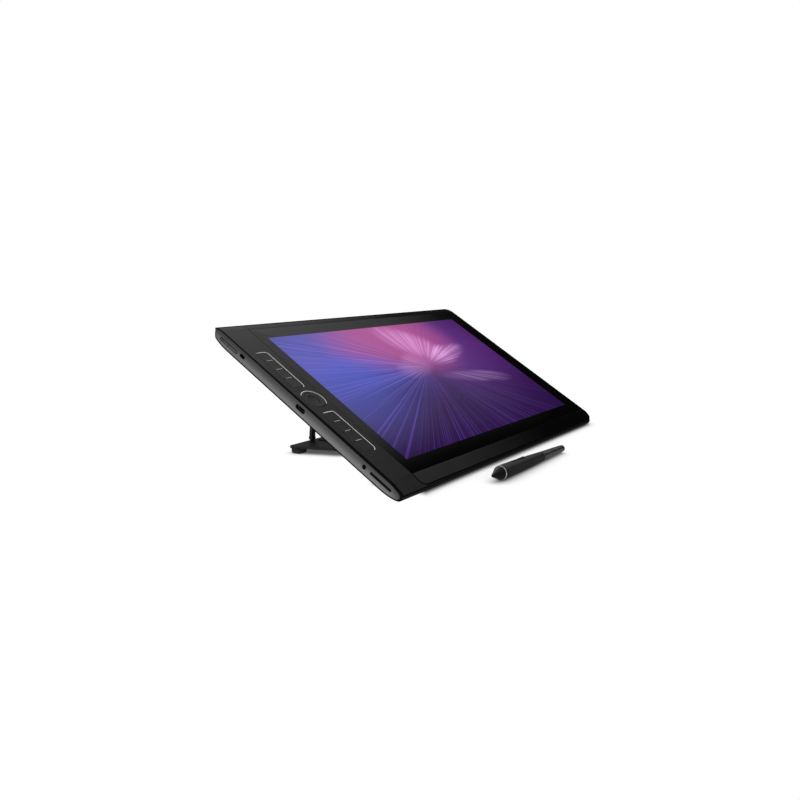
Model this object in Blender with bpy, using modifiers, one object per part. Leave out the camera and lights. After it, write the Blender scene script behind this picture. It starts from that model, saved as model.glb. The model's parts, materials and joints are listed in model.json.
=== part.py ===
"""Pen drawing tablet on its folding stand, with its pen lying beside it on the desk.

World frame: metres, +Z up, desk at Z = 0, +X along the tablet's long side (control strip at -X),
+Y from the user towards the back.  The tablet leans back on its stand by TILT degrees.
Most pieces are modelled in the tablet's own frame: x along the width, y up the screen, n normal
to the glass (0 = glass surface), which TABLET carries into the world.
Dimensions are in millimetres and degrees; new_object turns them into metres.
"""
import bpy
import bmesh
import math
from mathutils import Vector, Matrix

MM = 0.001
SIDES = (("left", -1), ("right", 1))     # name and sign of x

# ---------------------------------------------------------------- driving dimensions
TILT = 30.8                  # lean of the screen
SHIFT_Y = -10.167            # puts the middle of the whole object's box at Y = 0
WIDTH, DEPTH = 418.0, 256.0  # tablet outline
BELLY_N = -20.2              # lowest plane of the rear shell
WALL = 1.8                   # casing wall
GAP = 0.3                    # clearance between neighbouring pieces
FRAME_Y, FRAME_Z = 27.35 + SHIFT_Y, 73.0    # tablet frame's origin in the world
CORNER_R = {                 # plan radii of the casing, by (right, rear)
    (False, False): 1.0, (False, True): 0.8,
    (True, False): 14.0, (True, True): 6.0,
}

# screen
SCREEN_CENTRE = (10.0, 3.5)
SEAM_X = (-175.0, 205.2)     # opening in the front cover
SEAM_Y = (-125.2, 125.2)
SEAM_R = (9.0, 11.5, 3.0, 3.0)              # its corners, from front left round to rear left
GLASS_Y = (-110.0, 117.0)

# control strip
KEY_X, KEY_W, KEY_H = -193.0, 11.0, 13.6
KEY_PITCH = 14.0
KEY_GROUPS = (51.2, -43.8)   # y of the middle of each group of four keys
RING_CENTRE = (-190.6, 3.8)
RING_R, RING_BORE_R, HOME_R = 11.3, 5.9, 5.5
RING_N = -3.3                # origin of the ring and its gimbal

# ports and buttons in the two ends
PORT_N, BUTTON_N = -5.6, -6.8
BUTTON_Y, LOCK_Y, USB_Y, JACK_Y, CARD_Y = 104.0, 84.0, 0.6, -83.0, -103.3

# pieces inside that have matching openings in the rear shell
FAN_X, FAN_Y = -148, 55
FAN_N = (-16.6, -9.2)        # housing, rear and front faces
FAN_MID_N = -12.9
SPEAKER_X, SPEAKER_Y = 150, -84.0

# stand
STRUT_TOP = (82.6, -32.0)    # upper hinge, tablet frame (y, n)
LEG_X = 95.0                 # centre of each leg
LEG_HALF_W = 2.7
TOP_EYE_R, FOOT_EYE_R = 2.75, 2.4           # bosses at a leg's two ends
FOOT_HINGE = (119.0 + SHIFT_Y, 11.15)       # hinge between strut and base, world (y, z)
PLATE_N = (BELLY_N - GAP - 3.0, BELLY_N - GAP)              # mount plate faces
SCREWS = [(-70.0, 72.5), (70.0, 72.5), (-70.0, 103.5), (70.0, 103.5)]
SCREW_HOLE_R = 1.8
BASE_REAR, BASE_FRONT = 3.5, -57.5          # base plate edges, y from the foot hinge
BASE_HALF_REAR, BASE_HALF_FRONT = 129.5, 106.1
BASE_BOTTOM, BASE_TOP = 5.2 - FOOT_HINGE[1], 8.0 - FOOT_HINGE[1]    # z from the foot hinge
DESK_FROM_HINGE = -FOOT_HINGE[1]

# pen, measured along its axis from the nib tip
PEN_LEN, PEN_R, TAIL_R = 155.0, 6.85, 3.7
PEN_TIP = (-114.4, -112.9 + SHIFT_Y)        # nib tip, world (x, y)
PEN_HEADING = -0.1           # direction from nib to tail, about Z
GRIP_AT = 40.0               # the pen rests on the grip between here and GRIP_END
GRIP_END = (75.0, 6.1)       # (distance, radius)
SWITCH_AT = 50.8

# ---------------------------------------------------------------- casing curves
# Front face in profile: (y, n)
TOP = [
    (-128.0, -4.4), (-127.6, -3.6), (-126.6, -2.75), (-124.5, -1.9), (-121.0, -1.2),
    (-117.0, -0.65), (-113.5, -0.2), (-110.0, 0.0), (117.0, 0.0), (120.5, -0.35),
    (124.0, -0.95), (126.8, -1.6), (128.0, -2.3),
]
# Rim of the rear shell in profile: (y, n)
UNDER = [
    (-128.0, -6.0), (-127.5, -7.2), (-126.0, -8.5), (-123.0, -9.9), (-118.5, -11.1),
    (-112.0, -12.1), (-105.0, -12.5), (100.0, -13.3), (109.5, -13.1), (116.5, -12.2),
    (121.5, -11.1), (123.4, -10.1), (124.4, -8.7), (125.4, -6.8), (126.1, -5.55),
]
# Fall of the front face at the two ends: (|x|, fall)
END_FALL = [(204.6, 0.0), (206.6, -0.06), (208.2, -0.18), (208.8, -0.3)]

# Grid stations of the casing surfaces
FRONT_XS = [-208.8, -208.2, -206.6, -204.6, 194.8, 197.8, 200.6, 202.8, 204.6, 206.6, 208.2, 208.8]
REAR_XS = [
    -208.8, -206.0, -201.0, -196.0, -190.0, -183.0,
    183.0, 190.0, 194.8, 198.5, 201.8, 204.5, 206.9, 208.8,
]
REAR_YS = [
    -128.0, -127.5, -126.0, -123.0, -118.5, -114.0, -109.0, -103.0, -96.0,
    96.0, 101.5, 106.0, 109.5, 113.0, 116.5, 121.5, 123.4, 124.4, 125.4, 126.1,
]
HOLLOW_XS = [
    -207.6, -203.0, -198.0, -191.0, -183.0,
    183.0, 191.0, 194.8, 198.5, 201.8, 204.2, 206.2, 207.6,
]
FRONT_HOLLOW_YS = [-126.2, -125.0, -121.0, -117.0, -113.5, -110.0, 117.0, 121.0, 124.2]
REAR_HOLLOW_YS = [
    -126.2, -123.0, -118.5, -113.0, -107.0, -99.0,
    99.0, 106.0, 112.0, 117.0, 121.5, 123.5,
]
HOLLOW_INSET = 1.2
TRIM_YS = [
    -124.6, -123.0, -120.0, -116.0, -112.0, -106.0,
    100.0, 109.5, 116.5, 120.0, 121.5, 123.2,
]

# ---------------------------------------------------------------- scene set-up
for old in list(bpy.data.objects):
    bpy.data.objects.remove(old, do_unlink=True)
for old in list(bpy.data.collections):
    bpy.data.collections.remove(old)
PARTS = bpy.data.collections.new("pen_drawing_tablet")
CUTTERS = bpy.data.collections.new("cutters")
for collection in (PARTS, CUTTERS):
    bpy.context.scene.collection.children.link(collection)


def material(name, color, roughness, metallic=0.0):
    mat = bpy.data.materials.new(name)
    mat.use_nodes = True
    inputs = mat.node_tree.nodes["Principled BSDF"].inputs
    inputs["Base Color"].default_value = (*color, 1)
    inputs["Roughness"].default_value = roughness
    inputs["Metallic"].default_value = metallic
    return mat


CASE = material("case_black", color=(0.018, 0.018, 0.019), roughness=0.5)
BACK = material("rear_shell", color=(0.022, 0.022, 0.023), roughness=0.55)
TRIM = material("side_trim", color=(0.16, 0.16, 0.165), roughness=0.38, metallic=0.8)
GLASS = material("cover_glass", color=(0.004, 0.004, 0.005), roughness=0.12)
BEZEL = material("bezel_strip", color=(0.02, 0.02, 0.021), roughness=0.4)
KEYS = material("key_caps", color=(0.02, 0.02, 0.021), roughness=0.55)
RUBBER = material("rubber", color=(0.012, 0.012, 0.012), roughness=0.85)
STEEL = material("steel", color=(0.55, 0.55, 0.56), roughness=0.3, metallic=1.0)
STAND = material("stand_metal", color=(0.03, 0.03, 0.032), roughness=0.45, metallic=0.6)
PANEL = material("lcd_panel", color=(0.05, 0.03, 0.15), roughness=0.3)
BOARD = material("circuit_board", color=(0.01, 0.08, 0.05), roughness=0.6)
CHASSIS = material("chassis_metal", color=(0.45, 0.45, 0.46), roughness=0.45, metallic=0.9)
CELL = material("battery_wrap", color=(0.05, 0.05, 0.055), roughness=0.7)
COPPER = material("copper", color=(0.72, 0.36, 0.2), roughness=0.3, metallic=1.0)
PEN_BODY = material("pen_body", color=(0.02, 0.02, 0.021), roughness=0.25)
PEN_GRIP = material("pen_grip", color=(0.014, 0.014, 0.014), roughness=0.7)
PEN_ACCENT = material("pen_accent", color=(0.4, 0.4, 0.41), roughness=0.3, metallic=0.8)


# ---------------------------------------------------------------- outlines (lists of 2D points)
def rounded(x0, x1, y0, y1, radii, seg=5):
    """Rounded rectangle, anticlockwise; radii for (x0,y0), (x1,y0), (x1,y1), (x0,y1)."""
    if not isinstance(radii, (tuple, list)):
        radii = (radii,) * 4
    corners = ((x0, y0, 180), (x1, y0, 270), (x1, y1, 0), (x0, y1, 90))
    points = []
    for (corner_x, corner_y, start), r in zip(corners, radii):
        centre_x = corner_x + (r if corner_x == x0 else -r)
        centre_y = corner_y + (r if corner_y == y0 else -r)
        for k in range(seg + 1):
            a = math.radians(start + 90 * k / seg)
            points.append((centre_x + r * math.cos(a), centre_y + r * math.sin(a)))
    return points


def stadium(length, height, centre=(0, 0)):
    """Round-ended slot; the radius stays just under half the height so no points coincide."""
    x, y = centre
    return rounded(x - length / 2, x + length / 2, y - height / 2, y + height / 2,
                   height / 2 - 1e-3, seg=4)


def circle(r, seg, centre=(0, 0)):
    angles = [2 * math.pi * k / seg for k in range(seg)]
    return [(centre[0] + r * math.cos(a), centre[1] + r * math.sin(a)) for a in angles]


# ---------------------------------------------------------------- solids (bmesh, mm)
# Passing bm adds the solid to that bmesh instead of a new one.
AXIS_TURN = {                # rotation that carries +Z onto the named axis
    "Z": Matrix(),
    "X": Matrix.Rotation(math.radians(90), 4, "Y"),
    "Y": Matrix.Rotation(math.radians(-90), 4, "X"),
}


def box_bm(size, centre, bm=None):
    bm = bm or bmesh.new()
    made = bmesh.ops.create_cube(bm, size=1.0)["verts"]
    bmesh.ops.scale(bm, vec=size, verts=made)
    bmesh.ops.translate(bm, vec=centre, verts=made)
    return bm


def cyl_bm(r, length, seg, centre=(0, 0, 0), axis="Z", end_r=None, bm=None):
    """Cylinder centred on centre, or a cone frustum when end_r is given."""
    bm = bm or bmesh.new()
    made = bmesh.ops.create_cone(bm, cap_ends=True, segments=seg, radius1=r,
                                 radius2=r if end_r is None else end_r, depth=length)["verts"]
    bmesh.ops.transform(bm, matrix=Matrix.Translation(centre) @ AXIS_TURN[axis], verts=made)
    return bm


def extrude(bm, faces):
    """Extrudes the faces in place and returns the new vertices."""
    made = bmesh.ops.extrude_face_region(bm, geom=faces)["geom"]
    return [g for g in made if isinstance(g, bmesh.types.BMVert)]


def prism_bm(outline, start, end, axis="Z", bm=None):
    """Outline extruded from start to end along axis.

    Its coordinates are (x, y) for axis Z, (y, z) for axis X and (x, z) for axis Y.
    """
    bm = bm or bmesh.new()

    def put(u, v, w):
        return {"Z": (u, v, w), "X": (w, u, v), "Y": (u, w, v)}[axis]

    face = bm.faces.new([bm.verts.new(put(u, v, start)) for u, v in outline])
    bmesh.ops.translate(bm, vec=Vector(put(0, 0, end - start)), verts=extrude(bm, [face]))
    return bm


def turned_bm(profile, seg=32):
    """Solid of revolution about X from (x, r) points; only the first and last lie on the axis."""
    bm = bmesh.new()
    rings = []
    for x, r in profile:
        if r < 1e-6:
            rings.append([bm.verts.new((x, 0, 0))])
        else:
            rings.append([bm.verts.new((x, y, z)) for y, z in circle(r, seg)])
    for a, b in zip(rings, rings[1:]):
        for k in range(seg):
            j = (k + 1) % seg
            if len(a) == 1:
                bm.faces.new((a[0], b[k], b[j]))
            elif len(b) == 1:
                bm.faces.new((a[k], b[0], a[j]))
            else:
                bm.faces.new((a[k], b[k], b[j], a[j]))
    return bm


# ---------------------------------------------------------------- objects and modifiers
def new_object(name, bm, collection, parent, at=(0, 0, 0)):
    """Turns a bmesh in millimetres, modelled about its own origin, into an object in metres."""
    mesh = bpy.data.meshes.new(name)
    bm.to_mesh(mesh)
    bm.free()
    mesh.transform(Matrix.Scale(MM, 4))
    ob = bpy.data.objects.new(name, mesh)
    collection.objects.link(ob)
    ob.parent = parent
    ob.location = [v * MM for v in at]
    return ob


def add(name, bm, mat, parent, at=(0, 0, 0)):
    """A visible solid piece."""
    bmesh.ops.recalc_face_normals(bm, faces=bm.faces)
    ob = new_object(name, bm, PARTS, parent, at)
    ob.data.materials.append(mat)
    return ob


def add_cutter(name, bm, parent):
    """A helper solid for booleans, left out of renders."""
    bmesh.ops.recalc_face_normals(bm, faces=bm.faces)
    ob = new_object(name, bm, CUTTERS, parent)
    ob.hide_render = True
    ob.display_type = "WIRE"
    return ob


def boolean(ob, cutter, operation="DIFFERENCE"):
    mod = ob.modifiers.new("bool_" + cutter.name, "BOOLEAN")
    mod.operation = operation
    mod.object = cutter
    mod.solver = "EXACT"


def cut(ob, name, bm):
    """Removes a new cutter, in the piece's own parent frame, from the piece."""
    boolean(ob, add_cutter(name, bm, ob.parent))


def join(ob, name, bm):
    """Unites a new helper solid, in the piece's own parent frame, with the piece."""
    boolean(ob, add_cutter(name, bm, ob.parent), "UNION")


def bevel(ob, width, segments=1, angle=35):
    mod = ob.modifiers.new("edge", "BEVEL")
    mod.width = width * MM
    mod.segments = segments
    mod.limit_method = "ANGLE"
    mod.angle_limit = math.radians(angle)


def frame(name, location, rotation=(0, 0, 0), parent=None):
    """Empty that carries pieces; location in mm, rotation in degrees."""
    empty = bpy.data.objects.new(name, None)
    empty.location = [v * MM for v in location]
    empty.rotation_euler = [math.radians(v) for v in rotation]
    PARTS.objects.link(empty)
    empty.parent = parent
    return empty


# ---------------------------------------------------------------- frames
SIN_TILT, COS_TILT = math.sin(math.radians(TILT)), math.cos(math.radians(TILT))
TABLET = frame("tablet_frame", (0, FRAME_Y, FRAME_Z), (TILT, 0, 0))

# strut frame: origin on the upper hinge, -Z towards the foot hinge at distance REACH
HINGE_Y = FRAME_Y + STRUT_TOP[0] * COS_TILT - STRUT_TOP[1] * SIN_TILT
HINGE_Z = FRAME_Z + STRUT_TOP[0] * SIN_TILT + STRUT_TOP[1] * COS_TILT
REACH = math.hypot(HINGE_Y - FOOT_HINGE[0], HINGE_Z - FOOT_HINGE[1])
LEAN = math.degrees(math.atan2(HINGE_Y - FOOT_HINGE[0], HINGE_Z - FOOT_HINGE[1]))
STRUT = frame("strut_frame", (0, HINGE_Y, HINGE_Z), (-LEAN, 0, 0))
BASE = frame("base_frame", (0, *FOOT_HINGE))

# pen frames: nib tip at the origin, axis along +X, pitched so that the grip touches the desk
PEN_SLOPE = math.degrees(math.atan2(PEN_R - GRIP_END[1], GRIP_END[0] - GRIP_AT))
PEN_LIFT = (PEN_R / math.cos(math.radians(PEN_SLOPE))
            + GRIP_AT * math.sin(math.radians(PEN_SLOPE)))
PEN_FRAME = frame("pen_frame", (*PEN_TIP, 0), (0, 0, PEN_HEADING))
PEN = frame("pen_tilt", (0, 0, PEN_LIFT), (0, PEN_SLOPE, 0), PEN_FRAME)


# ---------------------------------------------------------------- casing surfaces
def lerp(points, at):
    """Linear interpolation in a table of pairs, held constant beyond its ends."""
    if at <= points[0][0]:
        return points[0][1]
    for (a, value_a), (b, value_b) in zip(points, points[1:]):
        if at <= b:
            return value_a + (value_b - value_a) * (at - a) / (b - a)
    return points[-1][1]


def smoothstep(t):
    t = max(0.0, min(1.0, t))
    return t * t * (3 - 2 * t)


def top_n(y):
    return lerp(TOP, y)


def front_n(x, y):
    """Front face with its fall at the two ends, faded out at the front and rear edges."""
    fade = max(0.0, min(1.0, (127.8 - abs(y)) / 5.0))
    return top_n(y) + lerp(END_FALL, abs(x)) * fade


def under_n(x, y):
    """Underside: drops smoothly from the rim to the flat belly over a band inside the outline."""
    band = 26.0
    rim = lerp(UNDER, y)
    blend = smoothstep((WIDTH / 2 - 0.4 - abs(x)) / band) * smoothstep((122.0 - abs(y)) / band)
    return rim - (rim - BELLY_N) * blend


def soft_corner(x, y, inset):
    """Moves a point of the square outline, drawn in by inset, onto one with rounded corners."""
    r = max(0.3, CORNER_R[x > 0, y > 0] - inset)
    centre_x, centre_y = WIDTH / 2 - 0.2 - inset - r, DEPTH / 2 - inset - r
    dx, dy = abs(x) - centre_x, abs(y) - centre_y
    if dx <= 0 or dy <= 0:
        return x, y
    k = max(dx, dy) / math.hypot(dx, dy)
    return math.copysign(centre_x + dx * k, x), math.copysign(centre_y + dy * k, y)


def surface_bm(xs, ys, height, inset=None):
    """Open grid surface n = height(x, y); an inset rounds its corners in plan."""
    bm = bmesh.new()
    grid = []
    for y in ys:
        row = []
        for x in xs:
            plan = (x, y) if inset is None else soft_corner(x, y, inset)
            row.append(bm.verts.new((*plan, height(x, y))))
        grid.append(row)
    for a, b in zip(grid, grid[1:]):
        for k in range(len(xs) - 1):
            bm.faces.new((a[k], a[k + 1], b[k + 1], b[k]))
    return bm


def block_bm(xs, ys, height, flat_n, inset):
    """Closed block between the surface and the flat plane n = flat_n; also returns flat verts."""
    bm = surface_bm(xs, ys, height, inset)
    flat = extrude(bm, list(bm.faces))
    for v in flat:
        v.co.z = flat_n
    return bm, flat


# ---------------------------------------------------------------- casing
def build_front_cover():
    block, lower = block_bm(FRONT_XS, [y for y, _ in TOP], front_n, -4.9, 0.0)
    # the rear face leans inwards below its top edge
    lean_from = 124.0
    for v in lower:
        if v.co.y > lean_from:
            v.co.y = lean_from + (v.co.y - lean_from) * 0.6
    cover = add("front_cover", block, CASE, TABLET)
    hollow, _ = block_bm(HOLLOW_XS, FRONT_HOLLOW_YS, lambda x, y: top_n(y) - WALL,
                         -12.0, HOLLOW_INSET)
    cut(cover, "front_hollow", hollow)
    return cover


def build_back_cover():
    shell, _ = block_bm(REAR_XS, REAR_YS, under_n, -5.25, 0.0)
    cover = add("back_cover", shell, BACK, TABLET)
    hollow, _ = block_bm(HOLLOW_XS, REAR_HOLLOW_YS, lambda x, y: under_n(x, y) + WALL,
                         2.0, HOLLOW_INSET)
    cut(cover, "rear_hollow", hollow)
    return cover


def trim_outline(grow, right):
    """Outline of a side panel in (y, n); the right one stops short of the rounded corners."""
    ys = [y for y in TRIM_YS if -112.5 < y < 118.0] if right else TRIM_YS
    upper = [(y, top_n(y) - 0.9 + grow) for y in ys]
    lower = [(y, lerp(UNDER, y) + 0.75 - grow) for y in ys][::-1]
    if right:
        rear = [(118.6 + grow, -2.4), (118.6 + grow, -9.6)]
        front = [(-113.6 - grow, -9.6), (-113.6 - grow, -2.4)]
        return upper + rear + lower + front
    front = [(-125.2 - grow, -7.0), (-125.6 - grow, -5.4), (-125.4 - grow, -4.2)]
    rear = [(126.0, -2.2 + grow), (126.2 + grow, -3.2), (125.6 + grow, -4.6), (124.7 + grow, -6.4)]
    return front + upper + rear + lower


def cut_trim_pockets(front_cover, back_cover):
    """Pockets in both covers that the side trims fill."""
    for side, sign in SIDES:
        bm = prism_bm(trim_outline(GAP, sign > 0), sign * 207.2, sign * 214.0, "X")
        pocket = add_cutter(side + "_trim_pocket", bm, TABLET)
        boolean(front_cover, pocket)
        boolean(back_cover, pocket)


def cut_front_openings(cover):
    """Window for glass and bezel strips, slots for the keys, hole for the ring."""
    cut(cover, "window_cut", prism_bm(rounded(*SEAM_X, *SEAM_Y, SEAM_R), -12, 6))
    half_w = KEY_W / 2 + GAP
    half_h = 2 * KEY_PITCH + 0.1
    for k, y in enumerate(KEY_GROUPS):
        slot = rounded(KEY_X - half_w, KEY_X + half_w, y - half_h, y + half_h, 2.2, seg=4)
        cut(cover, "key_slot_%d" % (k + 1), prism_bm(slot, -8, 5))
    cut(cover, "ring_hole", cyl_bm(RING_R + 0.35, 12, 40, (*RING_CENTRE, 0)))


def cut_rear_openings(cover):
    """Fan intake, exhaust and speaker slots, stand screw holes."""
    intake = bmesh.new()
    for k in range(9):
        box_bm((2.2, 30.0, 12.0), (FAN_X + (k - 4) * 4.6, FAN_Y, -19), intake)
    cut(cover, "vent_cut", intake)
    exhaust = bmesh.new()
    for k in range(6):
        box_bm((9.0, 12.0, 1.4), (FAN_X + (k - 2.5) * 12.0, 128, -8.0), exhaust)
    cut(cover, "exhaust_cut", exhaust)
    sound = bmesh.new()
    for sign in (-1, 1):
        for k in range(5):
            x = sign * (SPEAKER_X + (k - 2) * 4.2)
            box_bm((1.8, 9.0, 12.0), (x, SPEAKER_Y, -19), sound)
    cut(cover, "speaker_cut", sound)
    holes = bmesh.new()
    for x, y in SCREWS:
        cyl_bm(SCREW_HOLE_R, 14, 12, (x, y, -20), bm=holes)
    cut(cover, "screw_hole_cut", holes)


# ---------------------------------------------------------------- side trims and what they carry
def build_side_trims():
    usb = stadium(11.6, 3.9, (USB_Y, PORT_N))
    openings = {
        "left": [
            stadium(25.6, 3.0, (BUTTON_Y, BUTTON_N)),       # volume rocker
            stadium(6.4, 2.8, (LOCK_Y, PORT_N)),            # security slot
            usb,
            circle(1.85, 16, (JACK_Y, PORT_N)),             # headphone jack
            stadium(25.0, 2.0, (CARD_Y, PORT_N)),           # card slot
        ],
        "right": [
            stadium(14.6, 3.0, (BUTTON_Y, BUTTON_N)),       # power button
            usb,
        ],
    }
    for side, sign in SIDES:
        panel = prism_bm(trim_outline(0.0, sign > 0), sign * 207.5, sign * 209.0, "X")
        trim = add(side + "_side_trim", panel, TRIM, TABLET)
        cuts = bmesh.new()
        for outline in openings[side]:
            prism_bm(outline, sign * 206, sign * 212, "X", cuts)
        cut(trim, side + "_port_cuts", cuts)


def build_side_buttons():
    """Volume rocker on the left, power button on the right."""
    for name, length, inner, outer in (("volume_rocker", 24.8, 2.3, -2.2),
                                       ("power_button", 13.8, -2.2, 2.3)):
        left = name == "volume_rocker"
        start, end = (-inner, -outer) if left else (inner, outer)
        at = (-207.2 if left else 207.2, BUTTON_Y, BUTTON_N)
        bevel(add(name, prism_bm(stadium(length, 2.3), start, end, "X"), KEYS, TABLET, at), 0.3)


def build_usb_sockets():
    for side, sign in SIDES:
        shell_bm = prism_bm(stadium(9.4, 3.6, (USB_Y, PORT_N)), sign * 199.2, sign * 206.9, "X")
        shell = add("usb_c_socket_" + side, shell_bm, STEEL, TABLET)
        bore = prism_bm(stadium(8.6, 2.8, (USB_Y, PORT_N)), sign * 200.2, sign * 209, "X")
        cut(shell, "usb_bore_" + side, bore)
        join(shell, "usb_tongue_" + side, box_bm((5.6, 6.4, 0.7), (sign * 202.6, USB_Y, PORT_N)))


def build_audio_jack():
    jack = add("audio_jack", box_bm((12.0, 6.4, 5.2), (-200.7, JACK_Y, PORT_N)), KEYS, TABLET)
    cut(jack, "jack_bore", cyl_bm(1.75, 24, 20, (-207.0, JACK_Y, PORT_N), "X"))


def build_card_socket():
    body = box_bm((29.0, 27.0, 3.4), (-192.2, CARD_Y, PORT_N))
    socket = add("sd_card_socket", body, STEEL, TABLET)
    cut(socket, "card_bore", box_bm((28.0, 24.4, 2.2), (-193.5, CARD_Y, PORT_N)))


# ---------------------------------------------------------------- screen stack
def build_cover_glass():
    outline = rounded(SEAM_X[0] + GAP, SEAM_X[1] - GAP, *GLASS_Y, 0.8, seg=3)
    add("cover_glass", prism_bm(outline, -1.1, 0.0), GLASS, TABLET)


def build_bezel_strips():
    """Curved strips in front of and behind the glass, trimmed to the window less a gap."""
    outline = rounded(SEAM_X[0] + GAP, SEAM_X[1] - GAP, SEAM_Y[0] + GAP, SEAM_Y[1] - GAP,
                      [r - GAP for r in SEAM_R])
    window = add_cutter("strip_trim", prism_bm(outline, -12, 6), TABLET)
    stations = {
        "front": (-125.6, -124.5, -121.0, -117.0, -113.5, GLASS_Y[0] - GAP),
        "rear": (GLASS_Y[1] + GAP, 120.5, 124.0, 125.6),
    }
    for place, ys in stations.items():
        bm = surface_bm([-176.0, -60, 60, 206.0], ys, lambda x, y: top_n(y))
        strip = new_object(place + "_bezel_strip", bm, PARTS, TABLET)
        strip.data.materials.append(BEZEL)
        wall = strip.modifiers.new("wall", "SOLIDIFY")
        wall.thickness = 1.5 * MM
        wall.offset = -1         # thickness goes below the surface
        wall.use_even_offset = True
        boolean(strip, window, "INTERSECT")


def build_lcd_panel():
    panel = box_bm(size=(355.0, 204.0, 3.4), centre=(*SCREEN_CENTRE, -3.2))
    bevel(add("lcd_panel", panel, PANEL, TABLET), 0.4)


def build_digitizer_board():
    outline = rounded(-168.0, 188.0, -100.0, 108.0, 3, seg=3)
    add("digitizer_board", prism_bm(outline, -6.6, -5.3), BOARD, TABLET)


def build_mid_chassis():
    plate = prism_bm(rounded(-176.0, 190.0, -104.0, 112.0, 6, seg=3), -8.6, -7.0)
    chassis = add("mid_chassis", plate, CHASSIS, TABLET)
    windows = bmesh.new()
    for x in (-110, -40, 40, 110):
        prism_bm(rounded(x - 24, x + 24, -10, 20, 4, seg=3), -12, -4, bm=windows)
    cut(chassis, "chassis_windows", windows)


# ---------------------------------------------------------------- electronics
# Chips on the main board: x, y, width, height, thickness
CHIPS = (
    (0, 64, 30, 30, 2.2), (40, 70, 14, 22, 1.6), (-38, 72, 18, 12, 1.6),
    (-80, 50, 16, 16, 1.4), (78, 48, 22, 10, 2.6),
)
PIPE_ROUTE = [(22, 64), (-20, 66), (-60, 78), (-100, 92), (-125, 98.5), (-172, 98.5)]   # x, y
PIPE_R = 2.6
PIPE_FLATTEN = 0.56              # height over width of the heat pipe


def build_main_board():
    outline = [(-110, 30), (110, 30), (110, 60), (96, 96), (-96, 96), (-110, 60)]
    board = add("main_board", prism_bm(outline, -10.8, -9.2), BOARD, TABLET)
    chips = bmesh.new()
    for x, y, width, height, thick in CHIPS:
        box_bm((width, height, thick + 0.4), (x, y, -10.6 - thick / 2), chips)
    join(board, "board_chips", chips)


def build_battery():
    pack = box_bm(size=(216.0, 74.0, 6.0), centre=(0, -58.0, -12.3))
    bevel(add("battery_pack", pack, CELL, TABLET), 1.2, segments=2)


def build_fan():
    outline = rounded(FAN_X - 28, FAN_X + 28, FAN_Y - 29, FAN_Y + 29, 6, seg=3)
    housing = add("fan_housing", prism_bm(outline, *FAN_N), CASE, TABLET)
    cut(housing, "fan_bore", cyl_bm(24.0, 6.0, 32, (FAN_X, FAN_Y, FAN_MID_N)))
    cut(housing, "fan_inlet", cyl_bm(17.0, 8.0, 32, (FAN_X, FAN_Y, -16.0)))
    cut(housing, "fan_outlet", box_bm((40.0, 30.0, 5.0), (FAN_X, 76, FAN_MID_N)))

    blades, sweep = 13, 0.32     # sweep in radians from root to tip
    root_r, root_half, tip_r, tip_half = 9.0, 0.09, 22.0, 0.022     # half angles in radians
    blade = ((root_r, -root_half), (tip_r, sweep - tip_half),
             (tip_r, sweep + tip_half), (root_r, root_half))
    outline = []
    for k in range(blades):
        a = 2 * math.pi * k / blades
        outline += [(r * math.cos(a + turn), r * math.sin(a + turn)) for r, turn in blade]
    add("fan_rotor", prism_bm(outline, -2.1, 2.1), KEYS, TABLET, (FAN_X, FAN_Y, FAN_MID_N))


def build_heat_pipe():
    """Round tube swept along PIPE_ROUTE, then flattened."""
    curve = bpy.data.curves.new("heat_pipe_path", "CURVE")
    curve.dimensions = "3D"
    curve.bevel_depth = PIPE_R * MM
    curve.bevel_resolution = 2
    curve.use_fill_caps = True
    path = curve.splines.new("POLY")
    path.points.add(len(PIPE_ROUTE) - 1)
    for point, (x, y) in zip(path.points, PIPE_ROUTE):
        point.co = (x * MM, y * MM, 0, 1)
    guide = bpy.data.objects.new("pipe_guide", curve)
    CUTTERS.objects.link(guide)
    bpy.context.view_layer.update()
    depsgraph = bpy.context.evaluated_depsgraph_get()
    mesh = bpy.data.meshes.new_from_object(guide.evaluated_get(depsgraph))
    bpy.data.objects.remove(guide)
    bm = bmesh.new()
    bm.from_mesh(mesh)
    bmesh.ops.remove_doubles(bm, verts=bm.verts, dist=1e-6)     # welds the caps to the tube
    bmesh.ops.scale(bm, vec=(1 / MM, 1 / MM, PIPE_FLATTEN / MM), verts=bm.verts)
    add("heat_pipe", bm, COPPER, TABLET, (0, 0, -15.1))


def build_speakers():
    for side, sign in SIDES:
        body = box_bm(size=(44.0, 26.0, 5.6), centre=(sign * SPEAKER_X, SPEAKER_Y, -14.4))
        bevel(add("speaker_" + side, body, CASE, TABLET), 1.0)


# ---------------------------------------------------------------- control strip
def build_keys():
    key_ys = [y + (1.5 - k) * KEY_PITCH for y in KEY_GROUPS for k in range(4)]
    outline = rounded(-198.8, -184.4, -78.0, 86.0, 2, seg=2)
    board = add("key_board", prism_bm(outline, -5.4, -4.4), BOARD, TABLET)
    domes = bmesh.new()
    for y in key_ys:
        cyl_bm(2.6, 1.0, 12, (KEY_X, y, -4.1), end_r=1.4, bm=domes)
    join(board, "dome_switches", domes)
    outline = rounded(-KEY_W / 2, KEY_W / 2, -KEY_H / 2, KEY_H / 2, 1.2, seg=2)
    for k, y in enumerate(key_ys):
        cap = prism_bm(outline, -2.7, 0.35)
        bevel(add("express_key_%d" % (k + 1), cap, KEYS, TABLET, (KEY_X, y, 0)), 0.3)


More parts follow.
